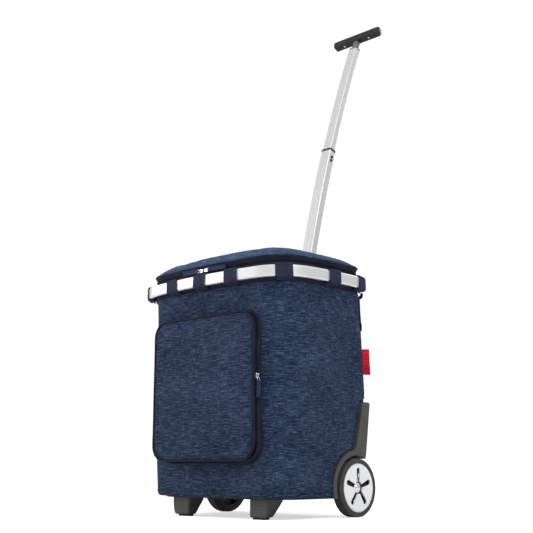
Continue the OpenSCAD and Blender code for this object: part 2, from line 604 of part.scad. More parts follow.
chassis_tray();
tube_socket();
foot_left();
foot_right();
sole_left();
sole_right();
axle();
arch_left();
arch_right();
tyre_left();
tyre_right();
wheel_core_left();
wheel_core_right();
wheel_disc_left();
wheel_disc_right();
hub_cap_left();
hub_cap_right();
axle_washers();
outer_tube();
outer_collar();
middle_tube();
middle_collar();
middle_guide();
snap_button_upper();
snap_button_lower();
upper_tube();
upper_guide();
grip_stem();
grip_shell();
grip_end_caps();
grip_screws();
rim_frame();
rim_clamp();
frame_screws();
loops_front();
loops_corner();
loops_side();
loops_rear();
bag_body();
base_board();
back_board();
back_panel();
zip_tape_lower();
zip_teeth_lower();
zip_teeth_upper();
zip_tape_upper();
lid_panel();
lid_slider_left();
lid_slider_right();
lid_pull_left();
lid_pull_right();
pocket_panel();
pocket_tape_panel();
pocket_teeth_panel();
pocket_teeth_bag();
pocket_tape_bag();
pocket_slider();
pocket_pull();
side_tag();
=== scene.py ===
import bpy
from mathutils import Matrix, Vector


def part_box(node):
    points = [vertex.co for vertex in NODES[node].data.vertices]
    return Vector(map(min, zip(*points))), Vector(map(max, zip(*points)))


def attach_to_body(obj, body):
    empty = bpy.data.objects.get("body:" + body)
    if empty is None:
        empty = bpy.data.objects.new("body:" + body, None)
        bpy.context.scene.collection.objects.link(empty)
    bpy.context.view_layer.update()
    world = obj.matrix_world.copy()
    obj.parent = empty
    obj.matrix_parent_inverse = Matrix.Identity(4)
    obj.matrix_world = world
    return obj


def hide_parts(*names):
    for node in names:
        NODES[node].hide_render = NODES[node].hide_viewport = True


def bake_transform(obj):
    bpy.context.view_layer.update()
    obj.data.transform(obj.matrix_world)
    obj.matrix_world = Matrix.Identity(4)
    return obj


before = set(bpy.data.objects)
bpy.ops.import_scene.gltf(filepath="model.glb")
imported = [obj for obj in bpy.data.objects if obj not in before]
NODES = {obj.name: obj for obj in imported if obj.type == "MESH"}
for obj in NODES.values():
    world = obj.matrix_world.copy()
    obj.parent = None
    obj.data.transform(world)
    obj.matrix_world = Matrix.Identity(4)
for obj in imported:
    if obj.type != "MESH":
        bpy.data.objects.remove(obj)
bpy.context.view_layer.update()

import math
import random
from contextlib import contextmanager

import bmesh
import bpy
import numpy as np
from mathutils import Matrix, Vector, noise

# Lengths below are in millimetres in the bag's own frame: x across, y to the rear, z up from the floor, with y
# counted from the bag's middle. SH is that middle's place in the row frame, read from the axle.
WHEEL_Z, AXLE_Y = 51.5, 86.9
_lo, _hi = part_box("axle")
SH = (_lo[1] + _hi[1]) * 500.0 - AXLE_Y


def W(x, y, z):
    """A point in metres in the row frame."""
    return (x / 1000.0, (y + SH) / 1000.0, z / 1000.0)


# ------------------------------------------------------------------ outlines
# The rim's plan is four arcs and a closing one: where each ends, in degrees from the front, and its radius
H1, H2, H3, H4 = 7.6, 82.2, 93.6, 177.0
RF, RC, RS, RR = 1000.0, 74.0, 660.0, 56.0
# The rim's middle line at the front
FRONT_Y = -143.0


def _sc(a):
    """Sine and cosine of an angle in degrees."""
    return math.sin(math.radians(a)), math.cos(math.radians(a))


def _arcs():
    """Each arc of the right half: (centre, radius, first angle, last angle), tangent to its neighbours."""
    out = []
    c = (0.0, FRONT_Y + RF)
    s, k = _sc(H1)
    p = (c[0] + RF * s, c[1] - RF * k)
    out.append((c, RF, 0.0, H1))
    for r, a, b in ((RC, H1, H2), (RS, H2, H3), (RR, H3, H4)):
        s, k = _sc(a)
        c = (p[0] - r * s, p[1] + r * k)
        s, k = _sc(b)
        p = (c[0] + r * s, c[1] - r * k)
        out.append((c, r, a, b))
    s, k = _sc(H4)
    r = p[0] / s
    out.append(((0.0, p[1] + r * k), r, H4, 180.0))
    return out


ARCS = _arcs()
RIM_Z, RIM_T, RIM_H = 419.0, 9.0, 21.0
# columns on each stretch of the half outline: front, corner, side, rear corner, rear
COLS = (26, 30, 34, 24, 30)


def arc_point(i, t, off=0.0):
    """Point and outward normal on arc i of the right half, t from 0 to 1."""
    c, r, a, b = ARCS[i]
    s, k = _sc(a + (b - a) * t)
    return (c[0] + (r + off) * s, c[1] - (r + off) * k), (s, -k)


def _mirror(half):
    """Full closed ring of columns from the right half, starting at the middle of the front."""
    return half + [(-x, y) for x, y in reversed(half[1:-1])]


def rim_ring(off):
    """The rim's plan grown by off."""
    half = [arc_point(i, j / n, off)[0] for i, n in enumerate(COLS) for j in range(n)]
    return _mirror(half + [arc_point(4, 1.0, off)[0]])


def low_ring(w, f, rf, wr, b, rr):
    """The bag's plan low down, in the same columns as the rim."""
    x0, x1 = w - rf, wr - rr

    def front_corner(a):
        return x0 + rf * math.cos(a), -f + rf + rf * math.sin(a)

    def rear_corner(a):
        return x1 + rr * math.cos(a), b - rr + rr * math.sin(a)

    pa, pb = front_corner(math.radians(-4)), rear_corner(math.radians(8))
    half = [(x0 * j / COLS[0], -f) for j in range(COLS[0])]
    half += [front_corner(math.radians(-90 + 86 * j / COLS[1])) for j in range(COLS[1])]
    half += [(pa[0] + (pb[0] - pa[0]) * j / COLS[2], pa[1] + (pb[1] - pa[1]) * j / COLS[2]) for j in range(COLS[2])]
    half += [rear_corner(math.radians(8 + 82 * j / COLS[3])) for j in range(COLS[3])]
    half += [(x1 * (1 - j / COLS[4]), b) for j in range(COLS[4] + 1)]
    return _mirror(half)


def bag_inset(o):
    """The bag's plan at its bottom seam, drawn in by o."""
    return low_ring(176.0 - o, 115.0 - o, 55.0 - o * 0.8, 161.0 - o, 118.0 - o, 12.0)


def bag_belly():
    """The bag's plan half way up."""
    return low_ring(185.0, 124.0, 66.0, 162.0, 133.0, 14.0)


def mix(a, b, t):
    """A ring a share t of the way from ring a to ring b."""
    return [(p[0] + (q[0] - p[0]) * t, p[1] + (q[1] - p[1]) * t) for p, q in zip(a, b)]


def normal_at(ring, i):
    """Outward unit normal of a closed plan ring at its point i."""
    a, b = ring[i - 1], ring[(i + 1) % len(ring)]
    l = math.hypot(b[0] - a[0], b[1] - a[1]) or 1.0
    return (b[1] - a[1]) / l, -(b[0] - a[0]) / l


def grow(ring, d):
    """A ring moved outwards by d, along its own normals."""
    normals = (normal_at(ring, i) for i in range(len(ring)))
    return [(x + nx * d, y + ny * d) for (x, y), (nx, ny) in zip(ring, normals)]


BAG_Z0, SEAM_Z, BELLY_Z, BAG_Z1 = 37.5, 43.0, 225.0, 399.0
RING_B, RING_M, RING_T = bag_inset(0), bag_belly(), rim_ring(-8.0)


def bag_ring(z):
    """The bag's outline at height z."""
    if z >= BELLY_Z:
        return mix(RING_M, RING_T, min((z - BELLY_Z) / (BAG_Z1 - BELLY_Z), 1.0))
    return mix(RING_B, RING_M, max(0.0, (z - SEAM_Z) / (BELLY_Z - SEAM_Z)))


def bag_front(x, z):
    """How far forward the bag's front face is at x, z: its y."""
    half = bag_ring(z)[:sum(COLS[:2])]
    ax = abs(x)
    for p, q in zip(half, half[1:]):
        if p[0] <= ax <= q[0]:
            t = (ax - p[0]) / max(q[0] - p[0], 1e-6)
            return p[1] + (q[1] - p[1]) * t
    return half[-1][1]


def running(p):
    """Running length along a line of points."""
    return np.concatenate([[0], np.cumsum(np.linalg.norm(np.diff(p, axis=0), axis=1))])


def along(q, s, p):
    """The point of line p at running length q."""
    return np.array([np.interp(q, s, p[:, i]) for i in range(p.shape[1])])


# ------------------------------------------------------------------ mesh helpers
def attach(o, body, node=None):
    """Say which body a piece rides on, and hide the CAD node it stands for."""
    if node:
        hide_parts(node)
    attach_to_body(o, body)


def obj_from(name, verts, faces, uvs=None, smooth=True, mats=()):
    """A mesh object from points in metres, faces, and a UV for each point."""
    me = bpy.data.meshes.new(name)
    me.from_pydata([tuple(v) for v in verts], [], faces)
    me.validate()
    if uvs is not None:
        layer = me.uv_layers.new(name="UVMap")
        idx = np.empty(len(me.loops), dtype=np.int32)
        me.loops.foreach_get("vertex_index", idx)
        layer.data.foreach_set("uv", np.asarray(uvs, dtype=np.float32)[idx].ravel())
    me.polygons.foreach_set("use_smooth", [smooth] * len(me.polygons))
    for m in mats:
        me.materials.append(m)
    me.update()
    o = bpy.data.objects.new(name, me)
    bpy.context.scene.collection.objects.link(o)
    return o


def grid(name, rows, close_u=False, close_v=False, uvs=None, mats=()):
    """A surface through rows of points, each a list of the same length. UVs are lengths in metres."""
    nv, nu = len(rows), len(rows[0])
    arr = np.array(rows, dtype=float)
    if uvs is None:
        steps = (np.linalg.norm(np.diff(arr, axis=a), axis=2).mean(axis=1 - a) for a in (1, 0))
        uvs = np.meshgrid(*(np.concatenate([[0], np.cumsum(d)]) for d in steps))
    uu, vv = uvs
    if close_u:
        # a doubled seam column keeps the UVs clean
        arr = np.concatenate([arr, arr[:, :1]], axis=1)
        gap = np.linalg.norm(arr[:, -1] - arr[:, -2], axis=1).mean()
        uu = np.concatenate([uu, uu[:, -1:] + gap], axis=1)
        vv = np.concatenate([vv, vv[:, -1:]], axis=1)
        nu += 1
    if close_v:
        arr = np.concatenate([arr, arr[:1]], axis=0)
        gap = np.linalg.norm(arr[-1] - arr[-2], axis=1).mean()
        vv = np.concatenate([vv, vv[-1:] + gap], axis=0)
        uu = np.concatenate([uu, uu[-1:]], axis=0)
        nv += 1
    faces = [(j * nu + i, j * nu + i + 1, (j + 1) * nu + i + 1, (j + 1) * nu + i)
             for j in range(nv - 1) for i in range(nu - 1)]
    uvl = np.stack([uu.ravel(), vv.ravel()], axis=1)
    o = obj_from(name, arr.reshape(-1, 3), faces, uvl, True, mats)
    if close_u or close_v:
        weld(o, 1e-6)
    return o


@contextmanager
def editing(o):
    """The object's mesh as a bmesh, written back at the end."""
    bm = bmesh.new()
    bm.from_mesh(o.data)
    yield bm
    bm.to_mesh(o.data)
    bm.free()


def weld(o, dist):
    """Merge points closer than dist."""
    with editing(o) as bm:
        bmesh.ops.remove_doubles(bm, verts=bm.verts, dist=dist)


def fill_holes(o):
    """Close every open edge, smooth the faces and turn them outwards."""
    with editing(o) as bm:
        bmesh.ops.holes_fill(bm, edges=[e for e in bm.edges if e.is_boundary], sides=0)
        for f in bm.faces:
            f.smooth = True
        bmesh.ops.recalc_face_normals(bm, faces=bm.faces)


def recalc(o):
    """Turn the faces outwards."""
    with editing(o) as bm:
        bmesh.ops.recalc_face_normals(bm, faces=bm.faces)


def apply_mods(o):
    """Make the result of a piece's modifiers its mesh."""
    dg = bpy.context.evaluated_depsgraph_get()
    me = bpy.data.meshes.new_from_object(o.evaluated_get(dg), depsgraph=dg)
    old = o.data
    o.modifiers.clear()
    o.data = me
    me.name = o.name
    bpy.data.meshes.remove(old)


def solidify(o, t, offset=-1.0, inner=None):
    """Give a surface its thickness t, with material slot `inner` on the inside."""
    m = o.modifiers.new("thick", "SOLIDIFY")
    m.thickness = t
    m.offset = offset
    m.use_even_offset = False
    m.use_quality_normals = True
    if inner is not None:
        m.material_offset = inner
        m.material_offset_rim = 0
    apply_mods(o)


def cloth(name, rows, t, offset, mat, **kw):
    """A sheet of cloth through rows of points, of thickness t."""
    o = grid(name, rows, mats=(mat,), **kw)
    recalc(o)
    solidify(o, t, offset)
    return o


def bevel(o, width, segments, angle):
    """Round the edges sharper than angle, in degrees."""
    b = o.modifiers.new("edge", "BEVEL")
    b.width = width
    b.segments = segments
    b.limit_method = "ANGLE"
    b.angle_limit = math.radians(angle)
    apply_mods(o)


def cut(o, cutter):
    """Cut one solid out of a piece, and delete the cutter."""
    bpy.context.view_layer.update()
    before = len(o.data.vertices)
    keep = o.data.copy()
    for solver in ("EXACT", "FAST"):
        m = o.modifiers.new("cut", "BOOLEAN")
        m.operation = "DIFFERENCE"
        m.object = cutter
        m.solver = solver
        apply_mods(o)
        # a cut takes away a small part of a piece, never most of it
        if len(o.data.vertices) > before * 0.6:
            break
        o.data = keep.copy()
    bpy.data.meshes.remove(keep)
    bpy.data.objects.remove(cutter)


def prism(layers):
    """A closed solid through layers of outline points in millimetres, all of the same count."""
    n = len(layers[0])
    top = n * (len(layers) - 1)
    faces = [(q + j, q + (j + 1) % n, q + n + (j + 1) % n, q + n + j) for q in range(0, top, n) for j in range(n)]
    faces += [tuple(reversed(range(n))), tuple(range(top, top + n))]
    o = obj_from("cutter", [W(*p) for layer in layers for p in layer], faces)
    recalc(o)
    return o


PUFF_FRAMES = 20


def puff(o, held, pressure, cap, slack=0.02):
    """Blow a padded skin up gently by cloth simulation, its seams held, and keep the result in the mesh."""
    scene = bpy.context.scene
    rest = np.array([tuple(v.co) for v in o.data.vertices])
    group = o.vertex_groups.new(name="held")
    pinned = [v.index for v in o.data.vertices if held(v.co)]
    group.add(pinned, 1.0, "REPLACE")
    m = o.modifiers.new("cloth", "CLOTH")
    st = m.settings
    st.vertex_group_mass = "held"
    st.use_pressure = True
    st.uniform_pressure_force = pressure
    st.effector_weights.gravity = 0.0
    st.shrink_min = -slack
    st.quality = 6
    st.bending_stiffness = 0.3
    m.collision_settings.use_collision = False
    m.point_cache.frame_start, m.point_cache.frame_end = 1, PUFF_FRAMES
    for f in range(1, PUFF_FRAMES + 1):
        scene.frame_set(f)
    dg = bpy.context.evaluated_depsgraph_get()
    ev = o.evaluated_get(dg)
    moved = np.array([tuple(v.co) for v in ev.data.vertices])
    o.modifiers.clear()
    o.vertex_groups.clear()
    scene.frame_set(1)
    d = moved - rest
    size = np.linalg.norm(d, axis=1)
    # no point goes further than the cap, and the way there stays smooth
    keep = cap * np.tanh(size / cap) / np.maximum(size, 1e-9)
    d *= keep[:, None]
    d[~np.isfinite(d).all(axis=1)] = 0.0
    for v, a in zip(o.data.vertices, rest + d):
        v.co = a
    o.data.update()
    print("puff %s: %d of %d held, moved up to %.1f mm" % (o.name, len(pinned), len(rest),
                                                         1000 * np.linalg.norm(d, axis=1).max()))


def sweep(name, path, section, up=(0, 0, 1), closed=False, mats=()):
    """A solid of one section, a list of (side, up) points in metres, along a path in metres."""
    p = np.array(path, dtype=float)
    t = np.roll(p, -1, 0) - np.roll(p, 1, 0)
    if not closed:
        t[0], t[-1] = p[1] - p[0], p[-1] - p[-2]
    t /= np.linalg.norm(t, axis=1)[:, None]
    side = np.cross(t, np.array([up] * len(p), dtype=float))
    side /= np.linalg.norm(side, axis=1)[:, None]
    u = np.cross(side, t)
    rows = [[tuple(c + a * i + b * j) for i, j in section] for c, a, b in zip(p, side, u)]
    o = grid(name, rows, close_u=True, close_v=closed, mats=mats)
    if not closed:
        fill_holes(o)
    recalc(o)
    return o


def circle_section(r, n=10, squash=1.0):
    return [(r * math.cos(2 * math.pi * i / n), r * squash * math.sin(2 * math.pi * i / n)) for i in range(n)]


def piping(name, path, r, mat, n=8, squash=1.0, **kw):
    """A round cord of radius r along a path in metres."""
    return sweep(name, path, circle_section(r, n, squash), mats=(mat,), **kw)


def rounded_rect(w, h, r, n):
    """(x, y, cos, sin) round a rectangle with corners of radius r, n steps on each."""
    out = []
    for sx, sy, a0 in ((1, 1, 0), (-1, 1, 90), (-1, -1, 180), (1, -1, 270)):
        for i in range(n + 1):
            a = math.radians(a0 + 90 * i / n)
            out.append((sx * (w / 2 - r) + r * math.cos(a), sy * (h / 2 - r) + r * math.sin(a),
                        math.cos(a), math.sin(a)))
    return out


def rect_section(w, h, r, n=3):
    return [p[:2] for p in rounded_rect(w, h, r, n)]


def join(name, objs):
    """One object from several, their material slots kept."""
    bm = bmesh.new()
    all_mats = []
    for o in objs:
        base = {}
        for i, m in enumerate(o.data.materials):
            if m not in all_mats:
                all_mats.append(m)
            base[i] = all_mats.index(m)
        start = len(bm.faces)
        bm.from_mesh(o.data)
        bm.faces.ensure_lookup_table()
        for f in bm.faces[start:]:
            f.material_index = base.get(f.material_index, 0)
    me = bpy.data.meshes.new(name)
    bm.to_mesh(me)
    bm.free()
    for m in all_mats:
        me.materials.append(m)
    for o in objs:
        old = o.data
        bpy.data.objects.remove(o)
        bpy.data.meshes.remove(old)
    out = bpy.data.objects.new(name, me)
    bpy.context.scene.collection.objects.link(out)
    return out


# Along each stitch: (place, radius, height), as shares of its length and thickness
STITCH = ((-0.5, 0.25, -0.6), (-0.36, 0.9, 0.1), (0.0, 1.0, 0.55), (0.36, 0.9, 0.1), (0.5, 0.25, -0.6))


def stitches(name, path, normals, mat, pitch=0.0036, length=0.0026, r=0.00034, closed=False):
    """A row of short thread stitches lying on a surface along a path. The points and normals are in metres."""
    p, nn = np.array(path, dtype=float), np.array(normals, dtype=float)
    if closed:
        p, nn = np.vstack([p, p[:1]]), np.vstack([nn, nn[:1]])
    s = running(p)
    count = max(1, int(s[-1] / pitch))
    verts, faces = [], []
    sides, lift = 5, 0.0001
    turn = [2 * math.pi * j / sides for j in range(sides)]
    for k in range(count):
        mid = (k + 0.5) * s[-1] / count
        pa, pb = along(mid - length / 2, s, p), along(mid + length / 2, s, p)
        nm = along(mid, s, nn)
        nm /= np.linalg.norm(nm) or 1.0
        t = pb - pa
        l = np.linalg.norm(t)
        if l < 1e-6:
            continue
        t /= l
        side = np.cross(t, nm)
        side /= np.linalg.norm(side) or 1.0
        c = (pa + pb) / 2
        base = len(verts)
        for pos, rad, up in STITCH:
            for a in turn:
                verts.append(tuple(c + t * pos * l + side * r * rad * math.cos(a)
                                   + nm * (lift + r * up + r * rad * math.sin(a))))
        for q in range(base, base + sides * (len(STITCH) - 1), sides):
            for j in range(sides):
                b = (j + 1) % sides
                faces.append((q + j, q + b, q + b + sides, q + j + sides))
        faces.append(tuple(base + j for j in reversed(range(sides))))
        faces.append(tuple(base + (len(STITCH) - 1) * sides + j for j in range(sides)))
    return obj_from(name, verts, faces, mats=(mat,))


def ease(t):
    """0 to 1 with a gentle start and end."""
    return t * t * (3 - 2 * t)


def fbm(x, y, z, octaves=3):
    """Smooth noise of a few octaves, about -1 to 1."""
    return noise.fractal(Vector((x, y, z)), 0.9, 2.1, octaves, noise_basis="PERLIN_ORIGINAL")


# ------------------------------------------------------------------ materials
def linear(*colours):
    """0-255 screen colours as linear RGBA."""
    out = []
    for rgb in colours:
        rgb = [c / 255.0 for c in rgb]
        out.append(tuple(c / 12.92 if c <= 0.04045 else ((c + 0.055) / 1.055) ** 2.4 for c in rgb) + (1.0,))
    return out


def add_node(tree, kind, inputs=(), **props):
    """A shader node: inputs are (socket, value or output) pairs, props its own settings."""
    n = tree.nodes.new("ShaderNode" + kind)
    for key, value in props.items():
        setattr(n, key, value)
    for key, value in inputs:
        if isinstance(value, bpy.types.NodeSocket):
            tree.links.new(value, n.inputs[key])
        else:
            n.inputs[key].default_value = value
    return n


class Tree:
    """One material, with short names for the shader nodes it is made of."""

    def __init__(self, name):
        self.mat = bpy.data.materials.new(name)
        self.mat.use_nodes = True
        self.t = self.mat.node_tree
        self.t.nodes.clear()
        self.bsdf = self.node("BsdfPrincipled")
        self.node("OutputMaterial", [("Surface", self.bsdf.outputs[0])])
        self.coord = self.node("TexCoord")

    def node(self, kind, inputs=(), **props):
        return add_node(self.t, kind, inputs, **props)

    def set(self, **kw):
        names = {"color": "Base Color", "rough": "Roughness", "metal": "Metallic", "normal": "Normal",
                 "sheen": "Sheen Weight", "sheen_rough": "Sheen Roughness", "sheen_tint": "Sheen Tint",
                 "spec": "Specular IOR Level", "glow": "Emission Color", "glow_power": "Emission Strength"}
        for k, v in kw.items():
            if isinstance(v, bpy.types.NodeSocket):
                self.t.links.new(v, self.bsdf.inputs[names[k]])
            else:
                self.bsdf.inputs[names[k]].default_value = v

    def mapping(self, scale=(1, 1, 1), source="UV", loc=(0, 0, 0)):
        return self.node("Mapping", [("Vector", self.coord.outputs[source]), ("Scale", scale),
                                     ("Location", loc)]).outputs["Vector"]

    def noise(self, vec, scale=1.0, detail=2.0, rough=0.5):
        return self.node("TexNoise", [("Vector", vec), ("Scale", scale), ("Detail", detail),
                                      ("Roughness", rough)]).outputs["Fac"]

    def voronoi(self, vec, scale):
        return self.node("TexVoronoi", [("Vector", vec), ("Scale", scale)]).outputs["Distance"]

    def wave(self, vec, scale, axis, distortion, dscale):
        return self.node("TexWave", [("Vector", vec), ("Scale", scale), ("Distortion", distortion),
                                     ("Detail", 0.0), ("Detail Scale", dscale)],
                         wave_type="BANDS", bands_direction=axis, wave_profile="SIN").outputs["Fac"]

    def math(self, op, a, b, c=0.0):
        return self.node("Math", [(0, a), (1, b), (2, c)], operation=op).outputs[0]

    def ramp(self, fac, stops):
        n = self.node("ValToRGB", [("Fac", fac)])
        el = n.color_ramp.elements
        while len(el) < len(stops):
            el.new(0.5)
        for e, (p, c) in zip(el, stops):
            e.position = p
            e.color = c
        return n.outputs["Color"]

    def range(self, v, a, b, c, d):
        return self.node("MapRange", [("Value", v), ("From Min", a), ("From Max", b), ("To Min", c),
                                      ("To Max", d)]).outputs["Result"]

    def mix(self, fac, a, b):
        return self.node("Mix", [(0, fac), (6, a), (7, b)], data_type="RGBA").outputs[2]

    def bump(self, height, strength, distance=0.0002):
        return self.node("Bump", [("Strength", strength), ("Distance", distance),
                                  ("Height", height)]).outputs["Normal"]


def heather(name, dark, base, light, pale):
    """Streaky two-tone polyester: long pale and dark weft threads across, faint warp threads down."""
    t = Tree(name)
    dark, base, light, pale = linear(dark, base, light, pale)
    # weft streaks a centimetre or two long and a millimetre or two deep, with a few short warp slubs
    n1 = t.noise(t.mapping((40, 640, 40)), 1.0, 3.0, 0.66)
    n2 = t.noise(t.mapping((110, 1300, 110), loc=(3.1, 7.7, 0)), 1.0, 2.0, 0.6)
    n3 = t.noise(t.mapping((700, 60, 700), loc=(11.3, 2.9, 0)), 1.0, 2.0, 0.6)
    n4 = t.noise(t.mapping((9, 20, 9), loc=(5.0, 1.0, 0)))
    a = t.math("MULTIPLY_ADD", n1, 0.48, t.math("MULTIPLY", n2, 0.42))
    b = t.math("MULTIPLY_ADD", n3, 0.15, a)
    c = t.math("MULTIPLY_ADD", n4, 0.10, b)
    col = t.ramp(c, [(0.435, dark), (0.525, base), (0.60, light), (0.685, pale)])
    # the single threads, seen only close up, with painted shade darkening the low gaps between them
    weave = t.math("MULTIPLY", t.wave(t.mapping(), 210, "X", 0.4, 2.0), t.wave(t.mapping(), 240, "Y", 0.6, 2.0))
    col = t.mix(t.range(weave, 0.0, 0.5, 0.30, 0.0), col, dark)
    slub = t.math("MULTIPLY_ADD", weave, 0.6, t.math("MULTIPLY", n1, 0.7))
    nrm = t.bump(slub, 0.55, 0.0004)
    t.set(color=col, rough=t.range(n2, 0.3, 0.7, 0.78, 0.92), normal=nrm, sheen=0.05, sheen_rough=0.5,
          sheen_tint=light, spec=0.12)
    return t.mat


def webbing(name, dark, base, light, scale=1.0, source="UV"):
    """Plain narrow webbing: ribs across, a finer thread down, and painted shade darkening the grooves between them.
    """
    t = Tree(name)
    dark, base, light = linear(dark, base, light)
    ribs = t.wave(t.mapping(source=source), 130 * scale, "Y", 0.5, 3.0)
    cross = t.wave(t.mapping(source=source), 190 * scale, "X", 0.3, 2.0)
    n = t.noise(t.mapping((300, 300, 300), source), 1.0, 3.0, 0.6)
    big = t.noise(t.mapping((18, 18, 18), source), 1.0, 2.0, 0.5)
    k = t.math("MULTIPLY_ADD", n, 0.5, t.math("MULTIPLY", big, 0.5))
    col = t.ramp(k, [(0.36, dark), (0.5, base), (0.66, light)])
    h = t.math("MULTIPLY_ADD", ribs, 0.6, t.math("MULTIPLY", cross, 0.4))
    # painted shade: the low grooves between the ribs and threads are darkened
    col = t.mix(t.range(h, 0.1, 0.5, 0.35, 0.0), col, dark)
    t.set(color=col, rough=0.8, normal=t.bump(h, 0.6, 0.0004), sheen=0.15, sheen_rough=0.45, sheen_tint=light,
          spec=0.25)
    return t.mat


def plastic(name, base, light, rough, grain, spec=0.4):
    """Fine-grained moulding: a pebbled texture, soft mottling, and a painted highlight making the high grain slightly
    paler.
    """
    t = Tree(name)
    base, light = linear(base, light)
    v = t.mapping(source="Object")
    pebble = t.voronoi(v, 1500.0)
    fine = t.noise(v, 2600.0)
    big = t.noise(v, 26.0, 3.0, 0.55)
    h = t.math("MULTIPLY_ADD", pebble, 0.7, t.math("MULTIPLY", fine, 0.3))
    col = t.mix(t.range(big, 0.35, 0.68, 0.0, 0.55), base, light)
    # painted highlight: the grain's high points, the same height as the bump, are made paler
    col = t.mix(t.range(h, 0.25, 0.65, 0.0, 0.12), col, light)
    t.set(color=col, rough=t.range(big, 0.3, 0.7, rough - 0.05, rough + 0.08), normal=t.bump(h, grain),
          spec=spec)
    return t.mat


def metal(name, base, rough, stretch, lines, streak=0.82, metallic=1.0):
    """Satin metal with fine drawn lines along one direction and a faint cloudiness."""
    t = Tree(name)
    line = t.noise(t.mapping(stretch, "Object"), 900.0, 3.0, 0.65)
    cloud = t.noise(t.mapping(source="Object"), 14.0, 3.0)
    r = t.math("MULTIPLY_ADD", line, 0.16, t.range(cloud, 0.3, 0.7, rough - 0.10, rough - 0.03))
    dark = tuple(c * streak for c in base[:3]) + (1.0,)
    col = t.mix(t.range(line, 0.3, 0.7, 0.0, 0.5), base, dark)
    t.set(color=col, metal=metallic, rough=r, normal=t.bump(line, lines))
    return t.mat


def rubber(name, base, light, rough):
    """Matt rubber with a fine skin and faint mottling."""
    t = Tree(name)
    base, light = linear(base, light)
    v = t.mapping(source="Object")
    n = t.noise(v, 1800.0, 3.0, 0.6)
    big = t.noise(v, 34.0, 3.0, 0.6)
    col = t.mix(t.range(big, 0.35, 0.7, 0.0, 0.7), base, light)
    t.set(color=col, rough=t.range(n, 0.3, 0.7, rough - 0.08, rough + 0.1), normal=t.bump(n, 0.25), spec=0.3)
    return t.mat


M_BODY = heather("bag_heather", (4, 9, 20), (21, 34, 56), (44, 59, 84), (83, 103, 132))
M_LID = heather("lid_heather", (14, 22, 41), (40, 57, 87), (67, 88, 122), (103, 127, 160))
M_POCKET = heather("pocket_heather", (5, 10, 21), (21, 33, 55), (43, 58, 83), (81, 101, 129))
M_WEB = webbing("navy_webbing", (20, 22, 42), (33, 38, 62), (52, 58, 86))
M_PULL = webbing("pull_webbing", (26, 30, 56), (44, 52, 86), (66, 76, 114))
M_TAPE = webbing("dark_tape", (11, 13, 24), (22, 26, 42), (36, 41, 60), 1.3)
M_PIPE = webbing("dark_piping", (10, 12, 22), (20, 23, 38), (33, 37, 56), 1.6)
M_COIL = plastic("zip_coil_nylon", (14, 16, 28), (30, 34, 52), 0.72, 0.1, 0.12)
M_THREAD = webbing("sewing_thread", (20, 25, 42), (36, 45, 68), (54, 65, 92), 3.0, "Object")
M_LINING = webbing("lining_cloth", (20, 22, 30), (38, 41, 54), (56, 60, 76), 0.8)
M_BLACKCLOTH = webbing("black_cloth", (4, 4, 6), (11, 11, 14), (24, 24, 29), 0.9)
M_RED = webbing("red_label_cloth", (130, 6, 18), (196, 20, 36), (222, 60, 70), 2.0)
M_RIM = metal("rim_satin_aluminium", (0.80, 0.80, 0.805, 1), 0.34, (0.12, 0.12, 1.4), 0.02, metallic=0.7)
M_TUBE = metal("tube_satin_aluminium", (0.58, 0.58, 0.585, 1), 0.44, (1, 1, 1), 0.0, 0.95, metallic=0.45)
M_CHROME = metal("hub_bright_chrome", (0.88, 0.88, 0.90, 1), 0.16, (1, 1, 1), 0.03)
M_SLIDER = metal("slider_nickel", (0.84, 0.84, 0.86, 1), 0.22, (1, 1, 1), 0.05)
M_STEEL = metal("zinc_steel", (0.62, 0.62, 0.64, 1), 0.36, (0.2, 1, 1), 0.08)
M_GREY = plastic("grey_moulding", (58, 57, 56), (76, 75, 73), 0.50, 0.30)
M_BLACK = plastic("black_moulding", (20, 20, 22), (34, 34, 37), 0.48, 0.25)
M_DISC = plastic("silver_grey_disc", (216, 217, 219), (230, 231, 233), 0.34, 0.08, 0.5)
M_GRIP = rubber("grip_soft_black", (12, 12, 14), (22, 22, 25), 0.42)
M_CAP = plastic("grip_cap_black", (16, 16, 18), (28, 28, 31), 0.34, 0.08)
M_STEM = plastic("stem_grey", (92, 92, 95), (110, 110, 114), 0.40, 0.12)
M_TYRE = rubber("tyre_dark_grey", (50, 50, 51), (66, 66, 67), 0.7)
M_SOLE = rubber("sole_black", (22, 22, 22), (36, 36, 36), 0.8)
M_BOARD = webbing("board_cloth", (14, 15, 22), (28, 30, 40), (44, 46, 58), 0.7, "Object")

CAD_LOOKS = (
    (M_BLACK, "chassis_tray tube_socket wheel_core_left wheel_core_right outer_collar middle_collar middle_guide "
              "snap_button_upper snap_button_lower upper_guide rim_clamp"),
    (M_GREY, "foot_left foot_right arch_left arch_right"),
    (M_SOLE, "sole_left sole_right"),
    (M_TYRE, "tyre_left tyre_right"),
    (M_DISC, "wheel_disc_left wheel_disc_right"),
    (M_CHROME, "hub_cap_left hub_cap_right"),
    (M_STEEL, "axle axle_washers grip_screws frame_screws"),
    (M_TUBE, "outer_tube middle_tube upper_tube"),
    (M_STEM, "grip_stem"),
    (M_GRIP, "grip_shell"),
    (M_CAP, "grip_end_caps"),
    (M_RIM, "rim_frame"),
    (M_BOARD, "base_board back_board"),
)
for _mat, _names in CAD_LOOKS:
    for _name in _names.split():
        _slots = NODES[_name].data.materials
        if not len(_slots):
            _slots.append(_mat)
        for _i in range(len(_slots)):
            _slots[_i] = _mat


# ------------------------------------------------------------------ camera, light and floor
def put_in_scene(name, data):
    o = bpy.data.objects.new(name, data)
    bpy.context.scene.collection.objects.link(o)
    return o


cam_data = bpy.data.cameras.new("camera")
cam_data.sensor_width = 36.0
cam_data.sensor_fit = "HORIZONTAL"
cam_data.lens = 63.78
cam_data.clip_start = 0.05
cam_data.clip_end = 50.0
cam = put_in_scene("camera", cam_data)
bpy.context.scene.camera = cam
